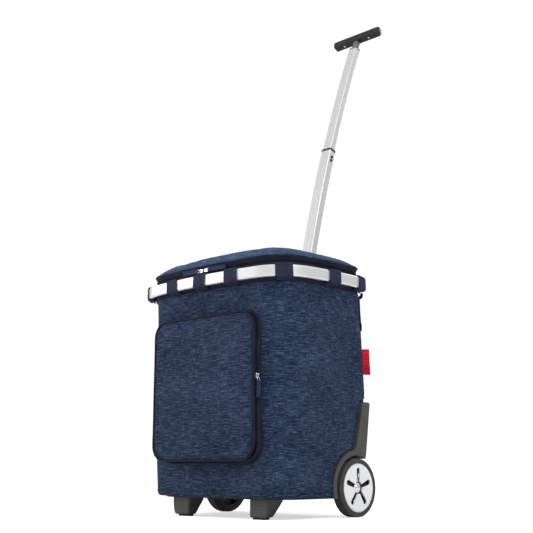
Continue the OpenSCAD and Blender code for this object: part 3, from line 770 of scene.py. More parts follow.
# low, to the front and right of the trolley, looking a little upwards
VIEW = Vector((-0.66912, 0.71372, 0.20708)).normalized()
_right = VIEW.cross(Vector((0, 0, 1))).normalized()
_place = Matrix((_right, _right.cross(VIEW), -VIEW)).transposed().to_4x4()
_place.translation = Vector((1.24151, -1.29285 + SH / 1000.0, 0.08894))
cam.matrix_world = _place

_n, _span = 24, 16.0
floor_me = bpy.data.meshes.new("floor")
floor_me.from_pydata(
    [((i / _n - 0.5) * _span, (j / _n - 0.5) * _span, 0.0) for j in range(_n + 1) for i in range(_n + 1)], [],
    [(j * (_n + 1) + i, j * (_n + 1) + i + 1, (j + 1) * (_n + 1) + i + 1, (j + 1) * (_n + 1) + i)
     for j in range(_n) for i in range(_n)])
floor = put_in_scene("floor", floor_me)
_t = Tree("floor_white")
_fn = _t.noise(_t.mapping(source="Object"), 3.0, 4.0)
# the camera sees the floor as white paper, lit a little; reflections and bounces do not get the lift
_seen = _t.node("LightPath").outputs["Is Camera Ray"]
_t.set(color=_t.ramp(_fn, [(0.3, (0.90, 0.90, 0.90, 1)), (0.7, (0.93, 0.93, 0.93, 1))]), rough=0.85, spec=0.2,
       glow=(1.0, 1.0, 1.0, 1.0), glow_power=_t.math("MULTIPLY", _seen, 0.58))
floor_me.materials.append(_t.mat)


def build_world():
    """White to the camera; to everything else a soft tent, paler overhead and greyer low down and to one side."""
    world = bpy.data.worlds.new("studio")
    bpy.context.scene.world = world
    world.use_nodes = True
    tree = world.node_tree

    def graded(v, a, b, c, d):
        return add_node(tree, "MapRange", [("Value", v), ("From Min", a), ("From Max", b), ("To Min", c),
                                           ("To Max", d)], interpolation_type="SMOOTHSTEP").outputs["Result"]

    def total(a, b):
        return add_node(tree, "Math", [(0, a), (1, b)], operation="ADD").outputs[0]

    white = tree.nodes["Background"]
    white.inputs[0].default_value = (1.0, 1.0, 1.0, 1.0)
    white.inputs[1].default_value = 1.05
    way = add_node(tree, "TexCoord").outputs["Generated"]
    xyz = add_node(tree, "SeparateXYZ", [(0, way)])
    # the far side of the tent, seen only at grazing angles, is in shade and draws the edges of the metal
    far = add_node(tree, "VectorMath", [(0, way), (1, tuple(VIEW))], operation="DOT_PRODUCT").outputs["Value"]
    power = total(total(graded(xyz.outputs["Z"], -0.25, 0.75, 0.62, 0.98),
                        graded(xyz.outputs["X"], -0.8, 0.8, 0.14, -0.10)), graded(far, 0.45, 0.95, 0.0, -0.55))
    tent = add_node(tree, "Background", [("Strength", power)])
    seen = add_node(tree, "LightPath").outputs["Is Camera Ray"]
    both = add_node(tree, "MixShader", [(0, seen), (1, tent.outputs[0]), (2, white.outputs[0])])
    tree.links.new(both.outputs[0], tree.nodes["World Output"].inputs["Surface"])


build_world()


def area(name, loc, target, size, power):
    """A rectangular lamp aimed at a point."""
    d = bpy.data.lights.new(name, "AREA")
    d.shape = "RECTANGLE"
    d.size, d.size_y = size
    d.energy = power
    o = put_in_scene(name, d)
    o.location = loc
    o.rotation_euler = (Vector(target) - Vector(loc)).to_track_quat("-Z", "Y").to_euler()


area("key", (2.6, -1.6, 2.6), (0, 0, 0.4), (1.6, 1.6), 72.0)
area("fill", (-2.6, -1.8, 1.4), (0, 0, 0.35), (1.8, 1.8), 34.0)
area("back", (0.4, 2.8, 2.4), (0, 0, 0.5), (1.8, 1.2), 12.0)
_film = bpy.context.scene.view_settings
_film.view_transform = "Standard"
_film.look = "None"
_film.exposure = 0.0
_film.gamma = 1.0

# ------------------------------------------------------------------ bag body
# The height where the lid's zip meets, and the webbing loops' width
TAPE_MID, LOOP_W = 440.0, 29.0
# The bag's rooms for a wheel arch and for its arm: the arch's radius, and how far out each reaches, from and to
ARCH_R, ARCH_X, ARM_X = 67.2, (145.7, 206.3), (159.7, 200.0)
# The front's seat behind the pocket, and the outline of an arch's arm, as (y, z)
SEAT_Y = -126.2
ARM = [(70, 96), (87, 127), (95, 156), (106.6, 199.5), (109.5, 204), (113.6, 206), (126, 206), (140, 205), (140, 96)]


def loop_centres():
    """Where the webbing loops sit: (arc, t, side) with side 1 right, -1 left."""
    front = math.degrees(math.asin(78.0 / RF)) / H1
    out = [(0, front, -1), (0, 0.0, 1), (0, front, 1)]
    for s in (1, -1):
        out.append((1, (46.0 - H1) / (H2 - H1), s))
        out.append((2, (87.6 - H2) / (H3 - H2), s))
        out.append((3, (108.0 - H3) / (H4 - H3), s))
    return out


LOOPS = [(s * arc_point(i, t)[0][0], arc_point(i, t)[0][1]) for i, t, s in loop_centres()]


def relief(x, y, z):
    """How far the fabric stands off its smooth form, in millimetres: pull from the loops, soft undulation, a little
    puckering along the bottom seam."""
    # soft, broad unevenness of a filled bag
    k = 1.5 * fbm(x * 0.0075 + 3.1, y * 0.0075, z * 0.0052, 2)
    # shallow drag folds, longer across than tall
    k += 0.55 * fbm(x * 0.014 + 9.0, y * 0.014 + 2.0, z * 0.040, 2) * min(1.0, max(0.15, (z - 60) / 260.0))
    # cloth pulled up to each loop, slack between them
    if z > 330:
        top = (z - 330) / 70.0
        near = min(math.hypot(x - lx, y - ly) for lx, ly in LOOPS)
        k += 1.5 * top * top * (math.exp(-(near / 20.0) ** 2) - 0.45)
        k += 0.8 * top * math.sin(near * 0.30) * math.exp(-near / 46.0)
    if z < 75:
        low = (75 - z) / 38.0
        k += 0.4 * low * math.sin((x + y) * 0.40 + 0.8 * math.sin(x * 0.11))
    return k


def seat_pull(x, y, z):
    """How far back the front is drawn to lie flat behind the pocket, in millimetres."""
    if y >= SEAT_Y:
        return 0.0
    dx = max(0.0, abs(x) - 129.0) / 14.0
    dz = max(0.0, z - 355.0) / 42.0 if z > 226 else max(0.0, 97.0 - z) / 20.0
    return ease(max(0.0, 1.0 - math.hypot(dx, dz))) * (SEAT_Y - y)


def body_rows():
    """The bag's rings from the bottom up: (ring, z)."""
    # the lower edge, turned under the base and rounded
    low = BAG_Z0 - 1.7
    rows = [(bag_inset(10.6), low)]
    for a in (0, 30, 60, 90):
        s, k = _sc(a)
        rows.append((bag_inset(6.0 - 6.0 * s), low + 6.0 * (1 - k)))
    rows += [(bag_ring(z), z) for z in [*np.linspace(47, 392, 116), 395.5, BAG_Z1]]
    # drawn in behind the rim to the zip's tape
    return rows + [(mix(RING_T, rim_ring(-9.6), min(1.0, (z - BAG_Z1) / 5.0)), z) for z in (402, 404.5)]


def tube_y(z):
    """The middle of the handle's tube, which bends along one wide arc, at height z."""
    return 3622.0 - math.sqrt(3567.0 ** 2 - (z + 340.3) ** 2)


def tube_cutter(heights, front):
    """A solid along the tube, from `front` before its middle to well behind it."""
    return prism([[(x, tube_y(z) + dy, z) for x, dy in ((-17.5, front), (17.5, front), (17.5, 60), (-17.5, 60))]
                  for z in heights])


def body_point(ring, i, z):
    """A point of the bag's skin: the ring's point, with the cloth's relief."""
    (x, y), (nx, ny) = ring[i], normal_at(ring, i)
    k = relief(x, y, z) - 0.3
    # a flat bearing behind the pocket
    if ny < -0.7 and 108 < z < 345:
        k *= 1 - 0.7 * max(0.0, 1 - (abs(x) / 128.0) ** 6)
    # calm where the arches and their arms bear on the side
    if nx * x > 0 and abs(nx) > 0.5 and z < 215 and y > 20:
        k = min(k, 0.2) * 0.4
    # the front corners hang slack under the rim, above the pocket
    k -= 6.5 * max(0.0, 0.71 * abs(nx) - 0.70 * ny) ** 8 * ease(min(1.0, max(0.0, (z - 270) / 70.0)))
    if z > BAG_Z1:
        k *= 0.3
    yy = y + ny * k
    if ny < -0.5:
        yy += seat_pull(x, y, z)
    return W(x + nx * k, yy, z)


def build_body():
    levels = body_rows()
    rows = [[body_point(ring, i, z) for i in range(len(ring))] for ring, z in levels]
    u = running(np.array(RING_M)) / 1000.0
    v = np.array([z for _, z in levels]) / 1000.0
    v[0] -= 0.015
    o = grid("bag_fabric_body", rows, close_u=True, uvs=np.meshgrid(u, v), mats=(M_BODY, M_LINING))
    recalc(o)
    solidify(o, 0.0028, -1.0, inner=1)
    # room for the wheel arches, their arms and the handle's tube
    turn = [2 * math.pi * (i + 0.37) / 90 for i in range(90)]
    arch = [(AXLE_Y + ARCH_R * math.cos(a), WHEEL_Z + ARCH_R * math.sin(a)) for a in turn]
    for s in (1, -1):
        cut(o, prism([[(s * x, y, z) for y, z in arch] for x in ARCH_X]))
        cut(o, prism([[(s * x, y, z) for y, z in ARM] for x in ARM_X]))
    cut(o, tube_cutter((270, 305, 340, 372, 400, 430), -15.5))
    attach(o, "frame", "bag_body")


build_body()


def seam_round_bottom():
    """A bound seam round the bottom edge, left out where the arches cut it away."""
    runs = [[]]
    for x, y in grow(bag_inset(0.0), 0.7):
        if math.hypot(y - AXLE_Y, 46.0 - WHEEL_Z) < 69.5 and abs(x) > 140:
            runs.append([])
        else:
            runs[-1].append(W(x, y, 45.6))
    # the last run goes on into the first, across the front's middle
    runs[0] = runs.pop() + runs[0]
    parts = [piping("seam", r, 0.0009, M_BODY) for r in runs if len(r) > 3]
    attach(join("bag_bottom_piping", parts), "frame")


seam_round_bottom()


# ------------------------------------------------------------------ webbing loops
def ring_param():
    """The rim's line by length: its points, its normals and the running length, once round from the front middle."""
    half = [arc_point(i, j / 60) for i in range(5) for j in range(60)] + [arc_point(4, 1.0)]
    whole = half + [((-x, y), (-nx, ny)) for (x, y), (nx, ny) in reversed(half[1:-1])] + half[:1]
    pts, nrm = (np.array(part) for part in zip(*whole))
    return pts, nrm, running(pts)


RIM_P, RIM_N, RIM_S = ring_param()
RIM_LEN = RIM_S[-1]


def rim_at(s, off=0.0):
    """Point and normal of the rim's line, grown by off, at running length s."""
    s = s % RIM_LEN
    (x, y), (nx, ny) = along(s, RIM_S, RIM_P), along(s, RIM_S, RIM_N)
    l = math.hypot(nx, ny)
    nx, ny = nx / l, ny / l
    return (x + nx * off, y + ny * off), (nx, ny)


def s_of(i, t, side):
    """Length along the rim of a point on arc i of one half."""
    (x, y), _ = arc_point(i, t)
    return RIM_S[int(np.argmin(np.hypot(RIM_P[:, 0] - x * side, RIM_P[:, 1] - y)))]


def rim_line(off, z, spots, wob=None):
    """Points at height z over the rim's line at the running lengths given, and their normals."""
    path, normals = [], []
    for s in spots:
        (x, y), (nx, ny) = rim_at(s, off + (wob(s, z) if wob else 0))
        path.append(W(x, y, z))
        normals.append((nx, ny, 0))
    return path, normals


def across(width, n):
    """n places across a width, from its one edge to the other."""
    return [(j / (n - 1) - 0.5) * width for j in range(n)]


# The loop's inner face round the rim: (outwards, up, and their directions), in millimetres
LOOP_RING = rounded_rect(RIM_T + 0.9, RIM_H + 2.0, 3.4, 6)
LOOP_T = 1.7


def build_loop(name, s0, seed):
    lean = random.Random(seed).uniform(-0.6, 0.6)
    outer, inner = [], []
    for w in across(LOOP_W, 13):
        ro, ri = [], []
        for k, (a, b, ca, cb) in enumerate(LOOP_RING):
            # selvedges stand a touch proud, the middle is pulled flat
            lift = (0.25 * abs(2 * w / LOOP_W) ** 6 + 0.12 * math.sin(k * 0.9 + seed)
                    + 0.10 * math.sin(w * 0.35 + seed))
            # slack at the lower corner where the webbing turns under the rim
            if b < -8:
                lift += 0.5
            for row, t in ((ro, LOOP_T + lift), (ri, 0.1)):
                (x, y), _ = rim_at(s0 + w + lean * b / 12.0, a + ca * t)
                row.append(W(x, y, RIM_Z + b + cb * t))
        outer.append(ro)
        inner.append(ri)
    # one closed band: outer face, over one selvedge, inner face, over the other
    o = grid(name, outer + inner[::-1], close_u=True, close_v=True, mats=(M_WEB,))
    recalc(o)
    bevel(o, 0.0005, 2, 50)
    # stitched ends: a tail that goes down to the bag's seam, and two rows of stitches across the face
    top = RIM_Z - RIM_H / 2 - 1.4
    tail = []
    for z in np.linspace(top, 403.2, 5):
        off = -2.3 - 4.1 * min(1.0, (top - z) / 5.5 * 1.35)
        tail.append(rim_line(off, z, [s0 + w for w in across(LOOP_W - 0.6, 9)])[0])
    parts = [o, cloth(name + "_tail", tail, 0.0015, 0.0, M_WEB)]
    for zz in (RIM_Z - 8.4, RIM_Z + 8.4):
        path, nn = rim_line(RIM_T / 2 + 0.57 + LOOP_T, zz, [s0 + w for w in across(LOOP_W - 4.0, 15)])
        parts.append(stitches(name + "_st", path, nn, M_THREAD, 0.0031, 0.0023, 0.0003))
    return join(name, parts)


def build_loops():
    groups = {"front": [], "corner": [], "side": [], "rear": []}
    spots = [(list(groups)[i], s_of(i, t, side)) for i, t, side in loop_centres()]
    spots += [("rear", s_of(4, 0.5 / 3.0, side)) for side in (1, -1)]
    for seed, (where, s0) in enumerate(spots, 1):
        groups[where].append(build_loop("loop", s0, seed))
    for where, loops in groups.items():
        attach(join("webbing_loops_" + where, loops), "frame", "loops_" + where)


build_loops()


# ------------------------------------------------------------------ zip above the rim
def wave_off(s, z, seed, amp=0.5):
    """A slow waver in and out along the rim."""
    return amp * fbm(s * 0.02 + seed, z * 0.03, seed * 1.7, 2)


def all_round(n):
    return [RIM_LEN * j / n for j in range(n)]


def tape_band(name, profile, body_name, node, seed):
    """A band of tape all round, through points of (offset, height)."""
    rows = [rim_line(off, z, all_round(260), lambda s, zz: wave_off(s, zz, seed))[0] for off, z in profile]
    attach(cloth(name, rows, 0.0012, -1.0, M_TAPE, close_u=True), body_name, node)


LOW_TAPE = [(-10.2, 404.0), (-9.8, 410.0), (-9.5, 418.0), (-9.4, 426.0), (-9.6, 431.0), (-10.4, 434.0),
            (-11.8, 436.0), (-12.5, 437.8), (-12.6, 439.9)]
UP_TAPE = [(-12.6, 440.1), (-12.5, 442.2), (-11.6, 444.0), (-10.2, 446.0), (-9.4, 448.0), (-9.2, 450.3)]
tape_band("zip_tape_on_bag", LOW_TAPE, "frame", "zip_tape_lower", 1.0)
tape_band("zip_tape_on_lid", UP_TAPE, "lid", "zip_tape_upper", 2.0)

REAR_A, REAR_B = s_of(4, 0.0, 1), s_of(4, 0.0, -1)


def turns(name, places, corners):
    """A row of small half-turns of coil, wide at the tape and narrow at the meeting edge. places holds, for each
    turn, a function from (out, up, along) to a point; corners holds (out, up, half width)."""
    verts, faces = [], []
    for at in places:
        q = len(verts)
        verts += [at(a, b, w * sgn) for a, b, w in corners for sgn in (-1, 1)]
        faces += [(q, q + 1, q + 3, q + 2), (q + 2, q + 3, q + 5, q + 4), (q + 4, q + 5, q + 7, q + 6),
                  (q + 6, q + 7, q + 1, q), (q, q + 2, q + 4, q + 6), (q + 1, q + 7, q + 5, q + 3)]
    o = obj_from(name, verts, faces, smooth=False, mats=(M_COIL,))
    recalc(o)
    return o


def coil(name, body_name, node, d):
    """The nylon coil of one side of the lid's zip, d = 1 above and -1 below, on its cord, front and sides only."""
    span = RIM_LEN - (REAR_B - REAR_A)

    def spots(n):
        return [REAR_B + (k + 0.5) * span / n for k in range(n)]

    def turn_at(s):
        (x, y), (nx, ny) = rim_at(s, -11.1)
        return lambda a, b, w: W(x + nx * a - ny * w, y + ny * a + nx * w, TAPE_MID + b)

    o = turns(name, [turn_at(s) for s in spots(int(span / 2.0))],
              ((0.0, 0.15 * d, 0.62), (0.0, 1.6 * d, 0.78), (-1.0, 1.6 * d, 0.78), (-1.0, 0.15 * d, 0.62)))
    c = piping(name + "_cord", rim_line(-11.7, TAPE_MID + 1.3 * d, spots(300))[0], 0.0007, M_COIL, 6)
    attach(join(name, [o, c]), body_name, node)


coil("lid_zip_coil_bag_side", "frame", "zip_teeth_lower", -1)
coil("lid_zip_coil_lid_side", "lid", "zip_teeth_upper", 1)


def row_of_stitches(name, off, z, body_name):
    """Stitches all round, at an offset from the rim's line and a height."""
    path, nn = rim_line(off, z, all_round(400))
    attach(stitches(name, path, nn, M_THREAD, 0.0036, 0.0026, 0.0003, closed=True), body_name)


row_of_stitches("stitches_tape_upper", -9.75, 447.6, "lid")
row_of_stitches("stitches_tape_lower", -10.3, 433.2, "frame")


def hinge_strip():
    """Fabric that hinges the lid along the rear."""
    spots = [REAR_A + 6 + (REAR_B - REAR_A - 12) * k / 59 for k in range(60)]
    rows = [rim_line(off, z, spots)[0]
            for off, z in ((-12.9, 434.0), (-12.9, 437.0), (-12.6, 439.5), (-12.6, 441.0), (-12.9, 443.5),
                           (-12.9, 447.0))]
    o = cloth("lid_hinge_cloth", rows, 0.0008, 0.0, M_TAPE)
    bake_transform(o)


hinge_strip()

# ------------------------------------------------------------------ lid
# The lid's middle: its y
LID_C = -16.0


def shrink(ring, s):
    """A ring drawn in towards the lid's middle."""
    return [(x * s, LID_C + (y - LID_C) * s) for x, y in ring]


# (offset, scale, z) from the lid's seam in over its low dome
DOME_TOP, DOME_H = 475.0, 27.0
LID_PROFILE = [(-9.0, 1.0, 449.4)] + [
    (-9.0, _k, DOME_TOP - DOME_H + DOME_H * (1 - _k ** 6) ** 0.8)
    for _k in (0.99, 0.98, 0.97, 0.955, 0.935, 0.91, 0.88, 0.84, 0.79, 0.73, 0.66, 0.58, 0.48, 0.37, 0.25, 0.13)]


def smooth_at(q, xs, ys):
    """Cubic value at q through points xs, ys."""
    i = int(min(max(np.searchsorted(xs, q) - 1, 0), len(xs) - 2))
    h = xs[i + 1] - xs[i]
    t = (q - xs[i]) / h
    m0 = (ys[i + 1] - ys[i - 1]) / (xs[i + 1] - xs[i - 1]) * h if i > 0 else ys[i + 1] - ys[i]
    m1 = (ys[i + 2] - ys[i]) / (xs[i + 2] - xs[i]) * h if i + 2 < len(xs) else ys[i + 1] - ys[i]
    a = (2 * t ** 3 - 3 * t ** 2 + 1) * ys[i] + (t ** 3 - 2 * t ** 2 + t) * m0
    return a + (-2 * t ** 3 + 3 * t ** 2) * ys[i + 1] + (t ** 3 - t ** 2) * m1


# Heights on the lid in metres: held by its seam below the first, woven flat above the second, and the crown's hole
LID_HELD_Z, WEAVE_FLAT_Z, CROWN_HOLE_Z, CROWN_TOP_Z = 0.4530, 0.4555, 0.470, 0.4735


def lid_rings():
    """The lid's rings from the seam in: the profile through its points, smoothly, at twice the density."""
    prof = np.array(LID_PROFILE)
    at = running(np.column_stack([prof[:, 1] * 160.0, prof[:, 2]]))
    rings = []
    for q in np.linspace(0, at[-1], 44):
        off, sc, z = (float(smooth_at(q, at, prof[:, k])) for k in range(3))
        rings.append((shrink(rim_ring(off), sc), z))
    return rings


def lid_point(ring, i, z, k):
    """A point of the lid's skin on its ring k, with the padding's soft unevenness, gathered near the edge seam."""
    x, y = ring[i]
    near = max(0.0, 1.0 - k / 13.0)
    d = 1.3 * fbm(x * 0.010, y * 0.010, 4.0 + z * 0.004, 2)
    if k:
        d += 0.35 * near * math.sin(i * 0.55 + 1.7 * math.sin(i * 0.07))
    if k and near:
        nx, ny = normal_at(ring, i)
        out = d * near * 0.5 - 0.2
        return W(x + nx * out, y + ny * out, z - 0.3)
    return W(x, y, z + d * (1 - near) * 0.7 - 0.6)


def build_lid():
    rows = [[lid_point(ring, i, z, k) for i in range(len(ring))] for k, (ring, z) in enumerate(lid_rings())]
    o = grid("lid_fabric", rows, close_u=True, mats=(M_LID, M_LINING))
    # planar weave over the crown, running across like the bag's
    layer = o.data.uv_layers[0].data
    for loop, place in zip(o.data.loops, layer):
        co = o.data.vertices[loop.vertex_index].co
        if co.z > WEAVE_FLAT_Z:
            place.uv = co.xy
    fill_holes_top(o)
    recalc(o)
    puff(o, lambda c: c.z < LID_HELD_Z, 0.5, 0.0014, 0.004)
    solidify(o, 0.0028, -1.0, inner=1)
    attach(o, "lid", "lid_panel")


def fill_holes_top(o):
    """Close the crown with a fan of faces."""
    with editing(o) as bm:
        edges = [e for e in bm.edges if e.is_boundary and all(v.co.z > CROWN_HOLE_Z for v in e.verts)]
        bmesh.ops.poke(bm, faces=bmesh.ops.holes_fill(bm, edges=edges, sides=0)["faces"])
        uvl = bm.loops.layers.uv.active
        for f in bm.faces:
            f.smooth = True
            if all(v.co.z > CROWN_TOP_Z for v in f.verts):
                for l in f.loops:
                    l[uvl].uv = l.vert.co.xy


build_lid()
attach(piping("lid_piping", rim_line(-8.7, 450.2, all_round(420), lambda s, z: wave_off(s, z, 6.0, 0.25))[0],
              0.0010, M_LID, 9, closed=True), "lid")
row_of_stitches("stitches_lid_edge", -10.9, 452.6, "lid")

# ------------------------------------------------------------------ pocket
# The pocket's half width, the heights of its foot and top, its corners' radius, and its depth and its zip's in front
PK_HW, PK_Z0, PK_Z1, PK_R, PK_Y = 126.5, 100.0, 352.0, 27.0, 141.0
PK_ZIP_Y = -129.6
PK_CZ = (PK_Z0 + PK_Z1) / 2
PK_HH = (PK_Z1 - PK_Z0) / 2


def pocket_line(o, step=3.0):
    """The pocket's rounded outline grown by o: (x, z, nx, nz), anticlockwise from the middle of the bottom."""
    hw, hh, r = PK_HW + o, PK_HH + o, PK_R + o
    out = []

    def straight(ax, az, bx, bz, nx, nz, n):
        for i in range(n):
            t = i / n
            out.append((ax + (bx - ax) * t, PK_CZ + az + (bz - az) * t, nx, nz))

    def corner(cx, cz, a0, n=14):
        for i in range(n):
            a = math.radians(a0 + 90 * i / n)
            out.append((cx + r * math.cos(a), PK_CZ + cz + r * math.sin(a), math.cos(a), math.sin(a)))

    nh, nv = int(2 * (PK_HW - PK_R) / step / 2), int(2 * (PK_HH - PK_R) / step)
    straight(0, -hh, hw - r, -hh, 0, -1, nh)
    corner(hw - r, -hh + r, -90)
    straight(hw, -hh + r, hw, hh - r, 1, 0, nv)
    corner(hw - r, hh - r, 0)
    straight(hw - r, hh, -hw + r, hh, 0, 1, nh * 2)
    corner(-hw + r, hh - r, 90)
    straight(-hw, hh - r, -hw, -hh + r, -1, 0, nv)
    corner(-hw + r, -hh + r, 180)
    straight(-hw + r, -hh, 0, -hh, 0, -1, nh)
    return out


def panel_depth(x, z, d):
    """The panel's front, in millimetres forward of its nominal face, a distance d in from its edge: rolled edge,
    slight crown, soft wrinkles."""
    roll = 2.2 * (max(0.0, 1 - d / 7.0) ** 2)
    crown = 1.5 * min(1.0, d / 70.0) ** 0.7
    k = 0.9 * fbm(x * 0.011 + 5.0, z * 0.009, 2.2, 2) + 0.35 * fbm(x * 0.03, z * 0.045, 7.1, 2)
    # fabric drawn in along the edge by its seam
    k += 0.30 * math.exp(-(d / 9.0) ** 2) * math.sin((x + z) * 0.30 + math.sin(x * 0.07) * 2)
    return crown - roll + k * min(1.0, 0.25 + d / 18.0)


def panel_front(x, z, d):
    """The y of the panel's outer face, a distance d in from its edge."""
    return -(PK_Y + panel_depth(x, z, d) - 0.4)


# How far each ring of the panel is drawn in towards its middle
PANEL_RINGS = (1.0, 0.994, 0.986, 0.975, 0.962, 0.945, 0.922, 0.89, 0.85, 0.80, 0.745, 0.685, 0.62, 0.55, 0.48, 0.41,
               0.34, 0.27, 0.20, 0.13, 0.06)


def build_pocket_panel():
    rows = []
    for s in PANEL_RINGS:
        row = []
        for x, z, nx, nz in pocket_line(0.0):
            px, pz = x * s, PK_CZ + (z - PK_CZ) * s
            d = (1 - s) * (abs(x * nx) + abs((z - PK_CZ) * nz)) / (abs(nx) + abs(nz))
            row.append(W(px, panel_front(px, pz, d), pz))
        rows.append(row)
    place = np.array(rows)
    o = grid("pocket_fabric_front", rows, close_u=True, uvs=(place[:, :, 0], place[:, :, 2]),
             mats=(M_POCKET, M_LINING))
    # close the middle with a fan of faces, and lay the weave flat over the whole
    with editing(o) as bm:
        inner = [e for e in bm.edges if e.is_boundary and all(abs(v.co.x) < 0.03 for v in e.verts)]
        bmesh.ops.holes_fill(bm, edges=inner, sides=0)
        bmesh.ops.poke(bm, faces=[f for f in bm.faces if len(f.verts) > 4])
        uvl = bm.loops.layers.uv.active
        for f in bm.faces:
            f.smooth = True
            for l in f.loops:
                l[uvl].uv = l.vert.co.xz
        bmesh.ops.recalc_face_normals(bm, faces=bm.faces)
        if sum(f.normal.y for f in bm.faces) > 0:
            bmesh.ops.reverse_faces(bm, faces=bm.faces)
    puff(o, lambda c: max(abs(c.x) * 1000 / PK_HW, abs(c.z * 1000 - PK_CZ) / PK_HH) > 0.955, 0.5, 0.0020, 0.012)
    solidify(o, 0.0024, -1.0, inner=1)
    attach(o, "pocket_front", "pocket_panel")


build_pocket_panel()


def on_line(o, y, wob=0.0, seed=0.0):
    """Points of a ring at outline offset o and depth y (a number or a function of x, z) in front."""
    out = []
    for x, z, nx, nz in pocket_line(o):
        yy = y(x, z) if callable(y) else y
        w = wob * fbm(x * 0.02 + seed, z * 0.02, seed, 2) if wob else 0.0
        out.append(W(x + nx * w, yy, z + nz * w))
    return out


def pocket_piping(name, line, r, sides, body):
    """A cord all round the pocket."""
    attach(piping(name, line, r, M_PIPE, sides, up=(0, 1, 0), closed=True), body)


pocket_piping("pocket_piping", on_line(0.9, -PK_Y + 1.2, 0.25, 3.0), 0.00135, 9, "pocket_front")
_pts = on_line(-4.6, lambda x, z: panel_front(x, z, 4.6) - 0.1)
attach(stitches("pocket_stitches", _pts, [(0, -1, 0)] * len(_pts), M_THREAD, 0.0034, 0.0024, 0.00028, closed=True),
       "pocket_front")


def bag_skin(x, z):
    """The bag fabric's front at x, z, with the flat seat behind the pocket."""
    y = bag_front(x, z)
    return y + seat_pull(x, y, z)


def gusset(name, ys, body_name, node, seed):
    """A fabric wall round the pocket. ys are depths from front to back, each a number or a function."""
    rows = [on_line(1.1 + b, y, 0.5, seed) for y, b in ys]
    attach(cloth(name, rows, 0.0012, -1.0, M_TAPE, close_u=True), body_name, node)


gusset("pocket_gusset_front", [(-139.2, 0.0), (-138.0, 0.35), (-136.0, 0.45), (-134.0, 0.2), (-132.0, 0.0)],
       "pocket_front", "pocket_tape_panel", 11.0)


def slider_room(x, z, room, at=316.0, reach=11.0):
    """Depth given up beside the last of the slider's run, at the pocket's right shoulder."""
    return room * math.exp(-((z - at) / reach) ** 2) if x > 100 else 0.0


def towards_bag(share):
    """Depth between the wall's front part and the bag's skin."""
    return lambda x, z: -127.9 * (1 - share) + bag_skin(x, z) * share


gusset("pocket_gusset_bag", [(lambda x, z: -127.5 + slider_room(x, z, 1.45), -0.3), (towards_bag(0.4), 0.7),
                             (towards_bag(0.7), 1.9), (lambda x, z: bag_skin(x, z) + 0.6, 3.3)],
       "frame", "pocket_tape_bag", 12.0)
pocket_piping("pocket_foot_piping",
              on_line(5.0, lambda x, z: min(max(bag_skin(x, z) - 0.3, -124.4 + slider_room(x, z, 0.8, 296.0, 24.0)),
                                            -112.0), 0.2, 13.0), 0.0012, 8, "frame")


def pocket_coil(name, y, d, body_name, node):
    """One side of the pocket's zip at depth y, its teeth turned towards the other side, and its strip of tape."""
    line = [p for p in pocket_line(1.5, 1.0) if p[1] > 124.5]
    # one run: from the right bottom, over the top, to the left bottom
    start = next(i for i, p in enumerate(line) if p[0] > 0)
    line = np.array(line[start:] + line[:start])
    s = running(line[:, :2])

    def turn_at(q):
        x, z, nx, nz = along(q, s, line)
        l = math.hypot(nx, nz) or 1.0
        nx, nz = nx / l, nz / l
        return lambda a, b, w: W(x + nx * a - nz * w, y + b, z + nz * a + nx * w)

    n = int(s[-1] / 1.9)
    o = turns(name, [turn_at((k + 0.5) * s[-1] / n) for k in range(n)],
              ((0.45, 0.0, 0.55), (0.45, 1.5 * d, 0.72), (-0.7, 1.5 * d, 0.72), (-0.7, 0.0, 0.55)))
    strip = [[W(x + nx * off, y + dy, z + nz * off) for x, z, nx, nz in line]
             for off, dy in ((-0.9, 0.0), (-0.2, 0.0), (-0.2, 1.4 * d), (-0.9, 1.4 * d))]
    t = grid(name + "_tape", strip, close_v=True, mats=(M_TAPE,))
    recalc(t)
    attach(join(name, [o, t]), body_name, node)


pocket_coil("pocket_coil_front", -131.7, 1, "pocket_front", "pocket_teeth_panel")
pocket_coil("pocket_coil_bag", -127.5, -1, "frame", "pocket_teeth_bag")


# ------------------------------------------------------------------ sliders and their fabric pulls
def place(o, origin, ax, ay, az):
    """Move a mesh drawn in local metres to a place: local x, y, z go along ax, ay, az."""
    m = Matrix((ax, ay, az)).transposed().to_4x4()
    m.translation = Vector(origin)
    o.data.transform(m)
    o.data.update()


def plate(outline, z0, z1, edge):
    """A flat plate with a bevelled edge from an outline of (x, y) in metres."""
    n = len(outline)
    vs = [(x, y, z0) for x, y in outline] + [(x, y, z1) for x, y in outline]
    fs = [tuple(reversed(range(n))), tuple(range(n, 2 * n))]
    fs += [(i, (i + 1) % n, (i + 1) % n + n, i + n) for i in range(n)]
    o = obj_from("plate", vs, fs, smooth=False, mats=(M_SLIDER,))
    recalc(o)
    if edge:
        bevel(o, edge, 3, 40)
    o.data.polygons.foreach_set("use_smooth", [True] * len(o.data.polygons))
    return o


def slider_shape(w0, w1, l, r=0.0012):
    """Outline of a slider: wide and rounded at the front, narrower at the back."""
    out = []
    wide = r * 1.6
    for sx, sy, a0, w, q in ((1, 1, 0, w0, wide), (-1, 1, 90, w1, r), (-1, -1, 180, w1, r), (1, -1, 270, w0, wide)):
        for i in range(7):
            a = math.radians(a0 + 15 * i)
            out.append((sx * (l / 2 - q) + q * math.cos(a), sy * (w / 2 - q) + q * math.sin(a)))
    return out


